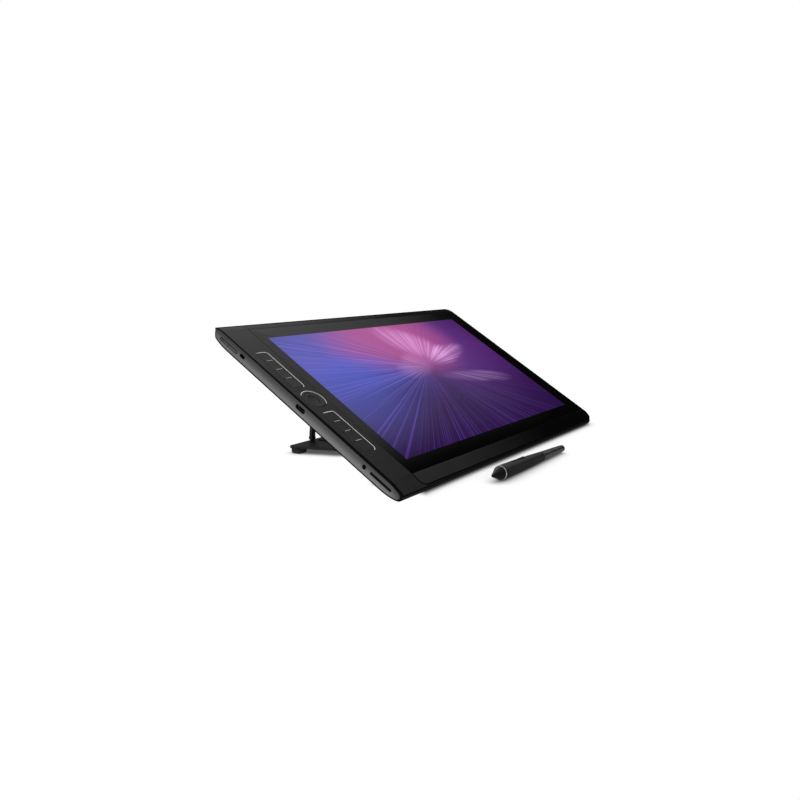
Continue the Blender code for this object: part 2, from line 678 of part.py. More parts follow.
def build_rocker_ring():
    """Gimbal, rocker ring above it and the home button in the middle."""
    at = (*RING_CENTRE, RING_N)
    gimbal = add("rocker_gimbal", prism_bm(circle(8.6, 32), -0.35, 0.35), STEEL, TABLET, at)
    cut(gimbal, "gimbal_eye", cyl_bm(5.2, 4, 24, at))
    ring = add("rocker_ring", prism_bm(circle(RING_R, 36), 0.9, 3.75), KEYS, TABLET, at)
    cut(ring, "ring_eye", cyl_bm(RING_BORE_R, 12, 24, (*RING_CENTRE, 0)))
    bevel(ring, 0.4, angle=50)
    button = prism_bm(circle(HOME_R, 24), -2.3, -0.6)
    bevel(add("home_button", button, KEYS, TABLET, (*RING_CENTRE, 0)), 0.3, angle=50)


# ---------------------------------------------------------------- rubber feet
def desk_n(y):
    """Height of the desk plane along n, in the tablet frame."""
    return -(FRAME_Z + y * SIN_TILT) / COS_TILT


def build_rubber_feet():
    """Front feet reach from the underside to the desk; rear feet are discs on the belly."""
    ys = (-119.0, -116.0, -112.0, -108.0, -105.0)
    upper = [(y, under_n(150, y) - GAP - 0.1) for y in ys]
    lower = [(y, desk_n(y)) for y in (ys[-1], ys[0])]
    for side, sign in SIDES:
        front = prism_bm(upper + lower, sign * 120.0, sign * 180.0, "X")
        add("front_foot_" + side, front, RUBBER, TABLET)
        rear = cyl_bm(7.0, 2.6, 20, (sign * 160.0, 90.0, BELLY_N - GAP - 1.3))
        bevel(add("rear_foot_" + side, rear, RUBBER, TABLET), 0.6, angle=50)


# ---------------------------------------------------------------- stand: mount plate and screws
def ear_outline(at, foot, half, r):
    """Lug outline from a plate face at foot to a round end about the pin at `at`."""
    direction = -1 if at[1] < foot else 1
    points = [(at[0] - half, foot), (at[0] + half, foot)]
    for degrees in range(0, 181, 30):
        a = math.radians(degrees)
        points.append((at[0] + r * math.cos(a), at[1] + direction * r * math.sin(a)))
    return points


def build_mount_plate():
    outline = rounded(-112, 112, 66, 110, 6, seg=4)
    mount = add("stand_mount_plate", prism_bm(outline, *PLATE_N), STAND, TABLET)
    # a pair of ears either side of each leg
    ears = bmesh.new()
    ear = ear_outline(STRUT_TOP, PLATE_N[0] + 1.0, 6.5, 4.4)
    for sign in (-1, 1):
        for inner, outer in ((87.2, 91.2), (98.8, 102.8)):
            prism_bm(ear, sign * inner, sign * outer, "X", ears)
    join(mount, "mount_ears", ears)
    bores = bmesh.new()
    for sign in (-1, 1):
        cyl_bm(2.15, 24, 16, (sign * LEG_X, *STRUT_TOP), "X", bm=bores)
    for x, y in SCREWS:
        cyl_bm(SCREW_HOLE_R, 8, 12, (x, y, PLATE_N[1]), bm=bores)
    cut(mount, "mount_bores", bores)
    # 4 mm cutters that sink 1.8 mm into the plate's rear face
    sinks = bmesh.new()
    for x, y in SCREWS:
        cyl_bm(3.2, 4.0, 16, (x, y, PLATE_N[0] - 2.0 + 1.8), bm=sinks)
    cut(mount, "mount_counterbores", sinks)


def build_stand_screws():
    profile = [(0.0, 0), (0.0, 2.9), (1.5, 2.9), (1.5, 1.5), (7.8, 1.5), (7.8, 0)]     # head, shank
    stand_up = Matrix.Rotation(math.radians(-90), 3, "Y")
    for k, (x, y) in enumerate(SCREWS):
        bm = turned_bm(profile, 12)
        bmesh.ops.rotate(bm, verts=bm.verts, cent=(0, 0, 0), matrix=stand_up)
        at = (x, y, PLATE_N[0] + 0.05)
        screw = add("stand_screw_%d" % (k + 1), bm, STEEL, TABLET, at)
        cut(screw, "screw_slot_%d" % (k + 1), box_bm((0.9, 3.6, 1.6), (x, y, PLATE_N[0])))


# ---------------------------------------------------------------- stand: strut
# Right half of a leg's side outline, (y, z): slim, swelling towards each hinge
LEG_SIDE = [
    (2.1, 0.3), (1.9, -6.0), (1.5, -12.0),
    (1.5, -REACH + 13.0), (1.95, -REACH + 5.0), (1.95, -REACH - 0.4),
]
# Cross panel between the legs, (x, z)
CROSS_PANEL = [
    (-93.0, -9.0), (93.0, -9.0), (93.0, -30.0), (85.0, -23.0), (-85.0, -23.0), (-93.0, -30.0),
]
# Widening of a leg at its foot, (x from the leg's centre, z)
FOOT_FLARE = [
    (-3.1, -REACH - 0.9), (3.1, -REACH - 0.9), (3.1, -REACH + 4.0),
    (2.4, -REACH + 13.7), (-2.4, -REACH + 13.7), (-3.1, -REACH + 4.0),
]


def leg_bm(x):
    outline = LEG_SIDE + [(-y, z) for y, z in reversed(LEG_SIDE)]
    return prism_bm(outline, x - LEG_HALF_W, x + LEG_HALF_W, "X")


def build_strut():
    strut = add("stand_strut", leg_bm(-LEG_X), STAND, STRUT)
    join(strut, "strut_right_leg", leg_bm(LEG_X))
    join(strut, "strut_cross_panel", prism_bm(CROSS_PANEL, -1.2, 1.2, "Y"))
    bosses, flares, forks, eyes = (bmesh.new() for _ in range(4))
    for x in (-LEG_X, LEG_X):
        cyl_bm(FOOT_EYE_R, 6.4, 24, (x, 0, -REACH), "X", bm=bosses)
        cyl_bm(TOP_EYE_R, 6.0, 24, (x, 0, 0), "X", bm=bosses)
        prism_bm([(x + u, z) for u, z in FOOT_FLARE], -1.7, 1.7, "Y", flares)
        box_bm((2.7, 8.0, 9.4), (x, 0, -REACH - 0.3), forks)
        cyl_bm(2.1, 12, 16, (x, 0, 0), "X", bm=eyes)
        cyl_bm(1.25, 12, 16, (x, 0, -REACH), "X", bm=eyes)
    join(strut, "strut_bosses", bosses)
    join(strut, "strut_flares", flares)
    cut(strut, "strut_forks", forks)
    cut(strut, "strut_eyes", eyes)


def build_hinge_pins():
    for side, sign in SIDES:
        x = sign * LEG_X
        add("strut_pin_" + side, cyl_bm(1.9, 17.0, 16, axis="X"), STEEL, TABLET, (x, *STRUT_TOP))
        add("base_pin_" + side, cyl_bm(1.0, 6.6, 12, axis="X"), STEEL, BASE, (x, 0, 0))


# ---------------------------------------------------------------- stand: base plate
def build_base_plate():
    rear_half = [                # right-hand edge, front to rear, (x, y)
        (BASE_HALF_FRONT - 6, BASE_FRONT), (BASE_HALF_FRONT + 0.4, BASE_FRONT + 6),
        (BASE_HALF_REAR - 1.0, BASE_REAR - 5.5), (BASE_HALF_REAR - 1.2, BASE_REAR - 2.0),
        (BASE_HALF_REAR - 4.0, BASE_REAR),
    ]
    outline = rear_half + [(-x, y) for x, y in reversed(rear_half)]
    base = add("stand_base_plate", prism_bm(outline, BASE_BOTTOM, BASE_TOP), STAND, BASE)
    bevel(base, 0.4, angle=60)
    # hinge lugs, with a low rib on the inner side of each
    lugs = bmesh.new()
    lug = ear_outline((0, 0), BASE_TOP - 0.8, 2.3, 2.3)
    for sign in (-1, 1):
        prism_bm(lug, sign * LEG_X - 1.05, sign * LEG_X + 1.05, "X", lugs)
        box_bm((1.3, 31.0, 2.0), (sign * 90.0, -20.5, BASE_TOP + 0.3), lugs)
    join(base, "base_lugs", lugs)
    bores = bmesh.new()
    for x in (-LEG_X, LEG_X):
        cyl_bm(1.25, 6, 16, (x, 0, 0), "X", bm=bores)
    cut(base, "base_pin_bores", bores)
    # shallow recess in the upper face
    rear, front = BASE_REAR - 10.0, BASE_FRONT + 9
    recess = [(-82.0, rear), (-76.0, front), (76.0, front), (82.0, rear)]
    cut(base, "base_pocket", prism_bm(recess, BASE_TOP - 1.0, 12))


def build_base_pads():
    pads = {
        side: (sign * 120.0 - 7.0, sign * 120.0 + 7.0, BASE_REAR - 13.5, BASE_REAR - 0.8)
        for side, sign in SIDES
    }
    pads["front"] = (-95, 95, BASE_FRONT + 2, BASE_FRONT + 9)
    for place, extent in pads.items():
        pad = prism_bm(rounded(*extent, 3.0, seg=4), DESK_FROM_HINGE, BASE_BOTTOM - GAP)
        add("base_pad_" + place, pad, RUBBER, BASE)


# ---------------------------------------------------------------- pen
# Turned profiles: (distance from the nib tip, radius)
NOSE = [(1.6, 0), (1.6, 1.15), (6.0, 2.95), (14.6, 6.35), (15.6, 6.6), (15.6, 0)]
NIB = [(0, 0), (0.15, 0.35), (0.6, 0.62), (4.0, 0.65), (10.0, 0.65), (10.0, 0)]
ACCENT = [(15.9, 0), (15.9, 6.7), (16.2, 6.88), (16.8, 6.9), (17.0, 6.82), (17.0, 0)]
GRIP = [
    (17.3, 0), (17.3, 6.75), (18.2, 7.0), (20.0, 7.1), (26.0, 7.05), (GRIP_AT, PEN_R),
    (56.0, 6.5), GRIP_END, (90.0, 5.55), (101.7, 5.12), (101.7, 0),
]
BARREL = [
    (102.0, 0), (102.0, 5.1), (118.0, 4.7), (136.0, 4.2),
    (PEN_LEN - 4.0, TAIL_R + 0.05), (PEN_LEN - 4.0, 0),
]
ERASER_LEN = 3.7
# Eraser profile, from its own front face
ERASER = [(0, 0), (0, TAIL_R), (2.6, TAIL_R - 0.1), (3.4, TAIL_R - 0.9), (ERASER_LEN, 0)]


def build_pen():
    nose = add("pen_nose_cone", turned_bm(NOSE), PEN_BODY, PEN)
    cut(nose, "nib_bore", cyl_bm(0.85, 30, 16, axis="X"))
    add("pen_nib", turned_bm(NIB, 16), PEN_BODY, PEN)
    add("pen_accent_ring", turned_bm(ACCENT), PEN_ACCENT, PEN)
    grip = add("pen_grip", turned_bm(GRIP), PEN_GRIP, PEN)
    cut(grip, "switch_well", prism_bm(stadium(27.9, 3.8, (SWITCH_AT, 0)), 3.9, 12))
    add("pen_barrel", turned_bm(BARREL), PEN_BODY, PEN)
    switch = prism_bm(stadium(27.1, 3.1), -1.8, 0.75)
    bevel(add("pen_side_switch", switch, KEYS, PEN, (SWITCH_AT, 0, 6.72)), 0.3)
    add("pen_tail_eraser", turned_bm(ERASER, 24), RUBBER, PEN, (PEN_LEN - ERASER_LEN, 0, 0))


# ---------------------------------------------------------------- build
def build_casing():
    front_cover = build_front_cover()
    back_cover = build_back_cover()
    cut_trim_pockets(front_cover, back_cover)
    cut_front_openings(front_cover)
    cut_rear_openings(back_cover)


for build in (
    build_casing, build_side_trims, build_side_buttons, build_usb_sockets, build_audio_jack,
    build_card_socket, build_cover_glass, build_bezel_strips, build_lcd_panel,
    build_digitizer_board, build_mid_chassis, build_main_board, build_battery, build_fan,
    build_heat_pipe, build_speakers, build_keys, build_rocker_ring, build_rubber_feet,
    build_mount_plate, build_stand_screws, build_strut, build_hinge_pins, build_base_plate,
    build_base_pads, build_pen,
):
    build()
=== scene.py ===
"""Looks of a pen drawing tablet on a folding stand, with its pen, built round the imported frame.

The world is in metres, +Z up.  Shapes are drawn in millimetres in the frame of their piece:
  TABLET  x to the right, y to the rear edge, z (called n) out of the screen; glass face at n = 0
  STRUT   x to the right, z up the strut; origin on the hinge under the tablet
  BASE    world axes; origin on the hinge of the base
  PEN     x from the nib to the tail, z out through the side switch
"""

import bpy
import bmesh
import json
import math
from mathutils import Vector, Matrix

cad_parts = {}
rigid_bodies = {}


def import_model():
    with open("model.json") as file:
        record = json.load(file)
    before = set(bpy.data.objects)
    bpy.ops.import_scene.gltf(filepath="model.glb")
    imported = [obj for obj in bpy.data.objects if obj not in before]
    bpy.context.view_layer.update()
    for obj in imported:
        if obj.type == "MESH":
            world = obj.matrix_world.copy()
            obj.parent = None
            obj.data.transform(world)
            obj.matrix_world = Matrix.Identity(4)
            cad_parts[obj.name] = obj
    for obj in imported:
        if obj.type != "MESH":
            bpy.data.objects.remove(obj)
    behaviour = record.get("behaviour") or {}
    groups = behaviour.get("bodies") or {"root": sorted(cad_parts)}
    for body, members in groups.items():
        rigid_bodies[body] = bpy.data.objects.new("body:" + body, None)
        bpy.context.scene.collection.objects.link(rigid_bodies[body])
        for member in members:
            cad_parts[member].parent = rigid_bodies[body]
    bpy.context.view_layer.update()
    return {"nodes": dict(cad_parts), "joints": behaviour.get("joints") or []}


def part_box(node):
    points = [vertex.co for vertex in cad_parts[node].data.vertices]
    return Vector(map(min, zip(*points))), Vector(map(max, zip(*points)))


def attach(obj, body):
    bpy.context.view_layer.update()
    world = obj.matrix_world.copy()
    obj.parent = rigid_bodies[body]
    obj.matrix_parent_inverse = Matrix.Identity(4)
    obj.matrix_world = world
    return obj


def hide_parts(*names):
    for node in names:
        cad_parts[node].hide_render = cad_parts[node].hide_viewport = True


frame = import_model()
JOINT = {joint["name"]: joint for joint in frame["joints"]}
MM = 0.001
rad = math.radians

# ---------------------------------------------------------------- sizes in the tablet's frame (mm)
HALF_X, HALF_Y = 209.0, 128.0
BELLY_N, WALL, GAP = -20.2, 1.8, 0.3
SCREEN_AT, SCREEN = (10.0, 3.5), (345.4, 194.3)      # centre and size of the lit area
SEAM_X, SEAM_Y = (-175.0, 205.2), (-125.2, 125.2)    # seam round the glass and the bezel strips
SEAM_RADII = (9.0, 11.5, 3.0, 3.0)
INSIDE_X = (SEAM_X[0] + GAP, SEAM_X[1] - GAP)
CORNERS = {(False, False): 1.0, (False, True): 0.8, (True, False): 14.0, (True, True): 6.0}
GLASS_Y = (-110.0, 117.0)
KEY_X, KEY_W, KEY_H, KEY_PITCH = -193.0, 11.0, 13.6, 14.0
KEY_ROWS = (51.2, -43.8)                             # centres of the two rows of four keys
RING_AT, RING_PIVOT_DEPTH = (-190.6, 3.8), 3.3
PORT_N, BUTTON_N, BUTTON_Y = -5.6, -6.8, 104.0
SIDES = (("left", -1), ("right", 1))

# openings in the end panels: side, centre y, centre n, length, height, flare of the mouth, clearance
OPENINGS = [
    (-1, BUTTON_Y, BUTTON_N, 25.6, 3.0, 0.4, 0.1), (-1, 84.0, PORT_N, 6.4, 2.8, 0.3, 0.0),
    (-1, 0.6, PORT_N, 11.6, 3.9, 0.4, 0.0), (-1, -83.0, PORT_N, 3.7, 3.7, 0.3, 0.0),
    (-1, -103.3, PORT_N, 25.0, 2.0, 0.2, 0.0), (1, BUTTON_Y, BUTTON_N, 14.6, 3.0, 0.4, 0.1),
    (1, 0.6, PORT_N, 11.6, 3.9, 0.4, 0.0)]

SWITCH_X, SWITCH_Z = 50.8, 6.72    # side switch in the pen's frame


# ---------------------------------------------------------------- frames, taken from the joints
def basis(x, y, z, at):
    matrix = Matrix((x, y, z)).transposed().to_4x4()
    matrix.translation = at
    return matrix


def shift(x, y, z=0.0):
    """Translation given in mm."""
    return Matrix.Translation((x * MM, y * MM, z * MM))


def joint_at(name):
    return Vector(JOINT[name]["pos_m"])


def joint_axis(name):
    return Vector(JOINT[name]["axis"]).normalized()


N_AXIS = -joint_axis("key_press_1")
X_AXIS = Vector((1, 0, 0))
Y_AXIS = N_AXIS.cross(X_AXIS).normalized()
ORIGIN = (joint_at("ring_tilt_side") - X_AXIS * RING_AT[0] * MM - Y_AXIS * RING_AT[1] * MM
          + N_AXIS * RING_PIVOT_DEPTH * MM)
TABLET = basis(X_AXIS, Y_AXIS, N_AXIS, ORIGIN)
HINGE = joint_at("stand_fold")
FOOT = joint_at("base_fold")
STRUT_Z = (HINGE - FOOT).normalized()
STRUT = basis(X_AXIS, STRUT_Z.cross(X_AXIS), STRUT_Z, HINGE)
BASE = Matrix.Translation(FOOT)
PEN_X = joint_axis("nib_press")
PEN_Y = joint_axis("side_switch_rock")
PEN_Z = PEN_X.cross(PEN_Y)
SWITCH_AT = joint_at("side_switch_rock")
PEN = basis(PEN_X, PEN_Y, PEN_Z, SWITCH_AT - PEN_X * SWITCH_X * MM - PEN_Z * SWITCH_Z * MM)


# ---------------------------------------------------------------- shader arithmetic
def feed(socket, value):
    """Links a Value to the socket or sets it; colours gain their alpha."""
    if isinstance(value, Value):
        socket.id_data.links.new(value.socket, socket)
        return
    if socket.type == "RGBA" and len(value) == 3:
        value = (*value, 1)
    socket.default_value = value


def add_node(tree, kind, inputs=None, **settings):
    node = tree.nodes.new(kind)
    for name, setting in settings.items():
        setattr(node, name, setting)
    for key, value in (inputs or {}).items():
        feed(node.inputs[key], value)
    return node


def derive(kind, inputs, output=0, **settings):
    """A node in the tree of the Values that feed it; gives one of its outputs."""
    tree = next(v for v in inputs.values() if isinstance(v, Value)).socket.id_data
    return Value(add_node(tree, kind, inputs, **settings), output)


def math_node(operation, *operands):
    return derive("ShaderNodeMath", dict(enumerate(operands)), operation=operation)


def operator(operation, swapped=False):
    def apply(self, other):
        return math_node(operation, *((other, self) if swapped else (self, other)))
    return apply


class Value:
    """A node's output; arithmetic on it adds Math nodes."""
    __add__, __radd__ = operator("ADD"), operator("ADD", swapped=True)
    __sub__, __rsub__ = operator("SUBTRACT"), operator("SUBTRACT", swapped=True)
    __mul__, __truediv__ = operator("MULTIPLY"), operator("DIVIDE")
    __pow__ = operator("POWER")

    def __init__(self, node, output=0):
        self.socket = node.outputs[output]

    def __abs__(self):
        return math_node("ABSOLUTE", self)

    def sqrt(self):
        return math_node("SQRT", self)

    def ramp(self, start, full, smooth=True, top=1.0):
        """0 where this value is at start, top where it is at full."""
        return derive("ShaderNodeMapRange",
                      {"Value": self, "From Min": start, "From Max": full, "To Max": top},
                      interpolation_type="SMOOTHSTEP" if smooth else "LINEAR")


def maximum(a, b):
    return math_node("MAXIMUM", a, b)


def minimum(a, b):
    return math_node("MINIMUM", a, b)


def mix(factor, a, b, blend="MIX"):
    return derive("ShaderNodeMix", {0: factor, 6: a, 7: b}, 2, data_type="RGBA", blend_type=blend)


def noise(at, scale, detail, rough):
    inputs = {"Vector": at, "Scale": scale, "Detail": detail, "Roughness": rough}
    return derive("ShaderNodeTexNoise", inputs, "Fac")


def stretch(at, scale):
    return derive("ShaderNodeMapping", {"Vector": at, "Scale": scale})


def dot(at, direction):
    return derive("ShaderNodeVectorMath", {0: at, 1: direction}, "Value", operation="DOT_PRODUCT")


def split(vector):
    node = add_node(vector.socket.id_data, "ShaderNodeSeparateXYZ", {0: vector})
    return [Value(node, i) for i in range(3)]


class Net:
    """A material's node tree and the coordinates its textures follow."""
    SOCKETS = {"color": "Base Color", "rough": "Roughness", "metal": "Metallic",
               "spec": "Specular IOR Level", "emission": "Emission Color",
               "strength": "Emission Strength"}

    def __init__(self, name, own=True):
        self.material = bpy.data.materials.new(name)
        self.material.use_nodes = True
        self.tree = self.material.node_tree
        self.surface = self.tree.nodes["Principled BSDF"]
        if own:    # the piece's own frame, kept on its vertices by build
            self.at = self.value("ShaderNodeAttribute", "Vector", attribute_name="own")
        else:
            self.at = self.value("ShaderNodeTexCoord", "Object")

    def value(self, kind, output, **settings):
        return Value(add_node(self.tree, kind, **settings), output)

    def bump(self, height, strength, distance):
        inputs = {"Height": height, "Strength": strength, "Distance": distance}
        feed(self.surface.inputs["Normal"], derive("ShaderNodeBump", inputs))

    def set(self, **looks):
        for key, value in looks.items():
            feed(self.surface.inputs[self.SOCKETS[key]], value)


def scaled(rgb, gain, lift=0.0):
    return tuple(min(1, c * gain + lift) for c in rgb)


# ---------------------------------------------------------------- kinds of material
def moulded(name, rgb, rough, grain, depth, vary, spec, cloud=26.0, wear=0.0, own=True, tone=None):
    """Moulded plastic or painted metal: fine grain, slow colour drift, uneven gloss."""
    net = Net(name, own)
    slow = noise(net.at, cloud, detail=3, rough=0.55)
    fine = noise(net.at, grain, detail=2, rough=0.6)
    colour = mix(slow.ramp(0.3, 0.7), scaled(rgb, 1 - vary), scaled(rgb, 1 + vary))
    colour = mix(fine.ramp(0.45, 0.8) * 0.35, colour, scaled(rgb, gain=1.7, lift=0.004))
    if wear:    # paler scuffs on the convex edges
        edge = net.value("ShaderNodeNewGeometry", "Pointiness").ramp(0.52, 0.6)
        scuff = edge * noise(net.at, 180, detail=4, rough=0.7).ramp(0.4, 0.7)
        colour = mix(scuff * wear, colour, scaled(rgb, gain=4, lift=0.03))
    # painted light and shade from the tone
    if tone:
        colour, gloss = tone(net, colour)
        spec = gloss * spec
    rough = (slow - 0.5) * 0.12 + ((fine - 0.5) * 0.10 + rough)
    net.set(color=colour, rough=rough, spec=spec)
    if depth:
        net.bump(fine, strength=0.35, distance=depth)
    return net.material


def brushed(name, rgb, rough, metal, along, vary=0.2, own=True, tone=None):
    """Brushed metal: streaks along the axis of the piece with the smallest scale in along."""
    net = Net(name, own)
    streak = noise(stretch(net.at, along), 1.0, detail=3, rough=0.65)
    slow = noise(net.at, 18, detail=2, rough=0.5)
    colour = mix(streak.ramp(0.3, 0.7), scaled(rgb, 1 - vary), scaled(rgb, 1 + vary))
    # painted light and shade from the tone
    if tone:
        colour = tone(net, colour)
    rough = (streak - 0.5) * 0.25 + (rough + (slow - 0.5) * 0.08)
    net.set(color=colour, metal=metal, rough=rough)
    net.bump(streak, strength=0.25, distance=2e-5)
    return net.material


def rubber(name, rgb, rough, cells):
    """Pebbled rubber with a trace of dust."""
    net = Net(name)
    pebbles = derive("ShaderNodeTexVoronoi", {"Scale": cells, "Vector": net.at}, "Distance")
    slow = noise(net.at, 60, detail=3, rough=0.6)
    dust = noise(net.at, 420, detail=5, rough=0.7).ramp(0.55, 0.8)
    net.set(color=mix(dust * 0.35, rgb, scaled(rgb, gain=2.2, lift=0.01)),
            rough=rough + (slow - 0.5) * 0.15, spec=0.35)
    net.bump(pebbles, strength=0.3, distance=8e-5)
    return net.material


def board(name):
    """Circuit board: green with a paler grid of tracks."""
    net = Net(name, own=False)
    tracks = add_node(net.tree, "ShaderNodeTexBrick", {
        "Scale": 1.0, "Vector": stretch(net.at, (160, 160, 160)), "Mortar Size": 0.03,
        "Color1": (0.01, 0.075, 0.04), "Color2": (0.008, 0.06, 0.035), "Mortar": (0.03, 0.16, 0.09)})
    speck = noise(net.at, 700, detail=3, rough=0.6)
    net.set(color=mix(speck.ramp(0.5, 0.7) * 0.3, Value(tracks, "Color"), (0.02, 0.11, 0.06)),
            rough=0.35 + speck * 0.2)
    net.bump(Value(tracks, "Fac"), strength=0.2, distance=4e-5)
    return net.material


# ---------------------------------------------------------------- shading over the pieces (metres)
# A tone paints light and shade over a piece: it takes a net and a colour; for moulded materials it also
# gives a factor on the gloss.
def opening_shade(x, y, z):
    """1 on the lips and inner walls of the openings, 0 on the panel's face."""
    total = 0.0
    for side, centre_y, centre_n, length, height, *_ in OPENINGS:
        dy = maximum(abs(y - centre_y * MM) - (length - height) / 2 * MM, 0.0)
        dz = z - centre_n * MM
        distance = (dy * dy + dz * dz).sqrt() - height / 2 * MM
        on_side = math_node("GREATER_THAN", x * float(side), 0.0)
        total = maximum(distance.ramp(0.00055, 0.00025) * on_side, total)
    return total


def side_painted_shade(net, colour):
    """Painted shade on the end panels: darker in their upper half, towards the rear and at the nose, and
    on the lips and inner walls of the openings.
    """
    x, y, z = split(net.at)
    # painted shade across the panel's height, along it and at the nose
    along = y.ramp(0.120, -0.045)
    low = z.ramp(-0.0030, -0.0100, smooth=False)
    nose = y.ramp(-0.1275, -0.1150)
    shade = (0.36 + low * 0.64) * ((0.76 + along * 0.24) * (0.5 + nose * 0.5))
    # painted shade in the openings
    shade = shade * (1.0 - opening_shade(x, y, z) * 0.94)
    return mix(shade, (0.0, 0.0, 0.0), colour)


def seam_line(x, y):
    """1 along the seam round the front strip, 0 elsewhere."""
    radius = SEAM_RADII[0] * MM
    middle, half = (SEAM_X[0] + SEAM_X[1]) * 0.5 * MM, (SEAM_X[1] - SEAM_X[0]) * 0.5 * MM
    qx = abs(x - middle) - (half - radius)
    qy = abs(y) - (SEAM_Y[1] * MM - radius)
    past_x, past_y = maximum(qx, 0.0), maximum(qy, 0.0)
    outside = (past_x * past_x + past_y * past_y).sqrt()
    distance = outside + minimum(maximum(qx, qy), 0.0) - radius
    return abs(distance).ramp(0.00105, 0.00045) * y.ramp(-0.1095, -0.1110)


def case_painted_light(net, colour):
    """Painted light and shade on the cover: paler at the rear left and darker to the right, its rolled
    edges all round near black; the seam round the front strip is a dark line.
    """
    x, y, _ = split(net.at)
    # painted shade: near black on the rolled edges at the sides and the ends
    side = abs(x) - (0.2048 + y.ramp(-0.10, 0.125) * 0.0020)
    ends = maximum(y.ramp(0.1242, 0.1254), y.ramp(-0.1257, -0.1266))
    edge = maximum(side.ramp(0.0, 0.0006), ends)
    # painted light and shade: paler towards the rear, darker to the right
    away = x.ramp(-0.14, 0.06)
    rear = y.ramp(-0.12, 0.0) * 0.30 + y.ramp(0.02, 0.125) * 0.95
    shade = (0.70 + rear) * (1.0 - away * 0.8)
    gain = mix(shade * 0.5, (0.0, 0.0, 0.0), (2.0, 2.0, 2.0))
    tinted = mix(1.0, gain, colour, "MULTIPLY")
    edge = maximum(edge, seam_line(x, y))
    gloss = (1.0 - edge * 0.93) * (1.0 - away * 0.7)
    return mix(edge, tinted, (0.0026, 0.0026, 0.0028)), gloss


def rear_painted_shade(net, colour):
    """Painted shade: the rear shell turns near black where it rolls up to the rim."""
    x, y, _ = split(net.at)
    rim = maximum(abs(x).ramp(0.190, 0.202), abs(y).ramp(0.108, 0.119))
    return mix(rim, colour, (0.0024, 0.0024, 0.0026)), 1.0 - rim * 0.93


def bezel_painted_shade(net, colour):
    """Painted shade: the strips in front of and behind the glass darken to the right; the seam round the
    front strip is a dark line.
    """
    x, y, _ = split(net.at)
    away = maximum(x.ramp(-0.16, 0.10), seam_line(x, y))
    return mix(away, colour, (0.0012, 0.0012, 0.0013)), 1.0 - away * 0.92


def under_shade(net, colour):
    """Satin sheen on upward faces only."""
    up = split(net.value("ShaderNodeNewGeometry", "Normal"))[2]
    return colour, 0.10 + up.ramp(0.05, 0.65) * 0.90


# ---------------------------------------------------------------- the lit cover glass
# In the lit area u and v run from -1 to 1, left to right and front to rear.
FOCUS = (0.05, 0.16)    # where the rays start
# pale lobes: centre u, centre v, two half widths, tilt, level
LOBES = ((0.16, 0.62, 0.20, 0.40, 0.5, 0.40), (0.36, 0.36, 0.28, 0.13, 0.45, 0.36),
         (-0.08, 0.24, 0.15, 0.24, -0.5, 0.24), (0.44, -0.16, 0.36, 0.11, -0.4, 0.34))


def spot(u, v, centre, squeeze, reach):
    """1 at the centre, fading to 0 over an ellipse."""
    du, dv = u - centre[0], v - centre[1]
    return (du * du * squeeze[0] + dv * dv * squeeze[1]).ramp(reach, 0.0)


def colour_fields(u, v):
    """Slow fields: blue at the left, purple at the right, magenta at the rear, dark in front."""
    colour = mix(u.ramp(-1.0, 0.35), (0.085, 0.092, 0.46), (0.115, 0.028, 0.235))
    colour = mix(u.ramp(0.25, 1.1), colour, (0.085, 0.018, 0.155))
    magenta = spot(u, v, centre=(0.02, 0.85), squeeze=(1.5, 0.8), reach=0.85)
    colour = mix(magenta * 0.9, colour, (0.42, 0.075, 0.27))
    blue = spot(u, v, centre=(-0.55, -0.15), squeeze=(2.2, 1.6), reach=0.9)
    colour = mix(blue * 0.7, colour, (0.06, 0.10, 0.56))
    low = v.ramp(0.1, -1.0) * u.ramp(-1.25, -0.1)
    return mix(low * 0.8, colour, (0.030, 0.010, 0.085))


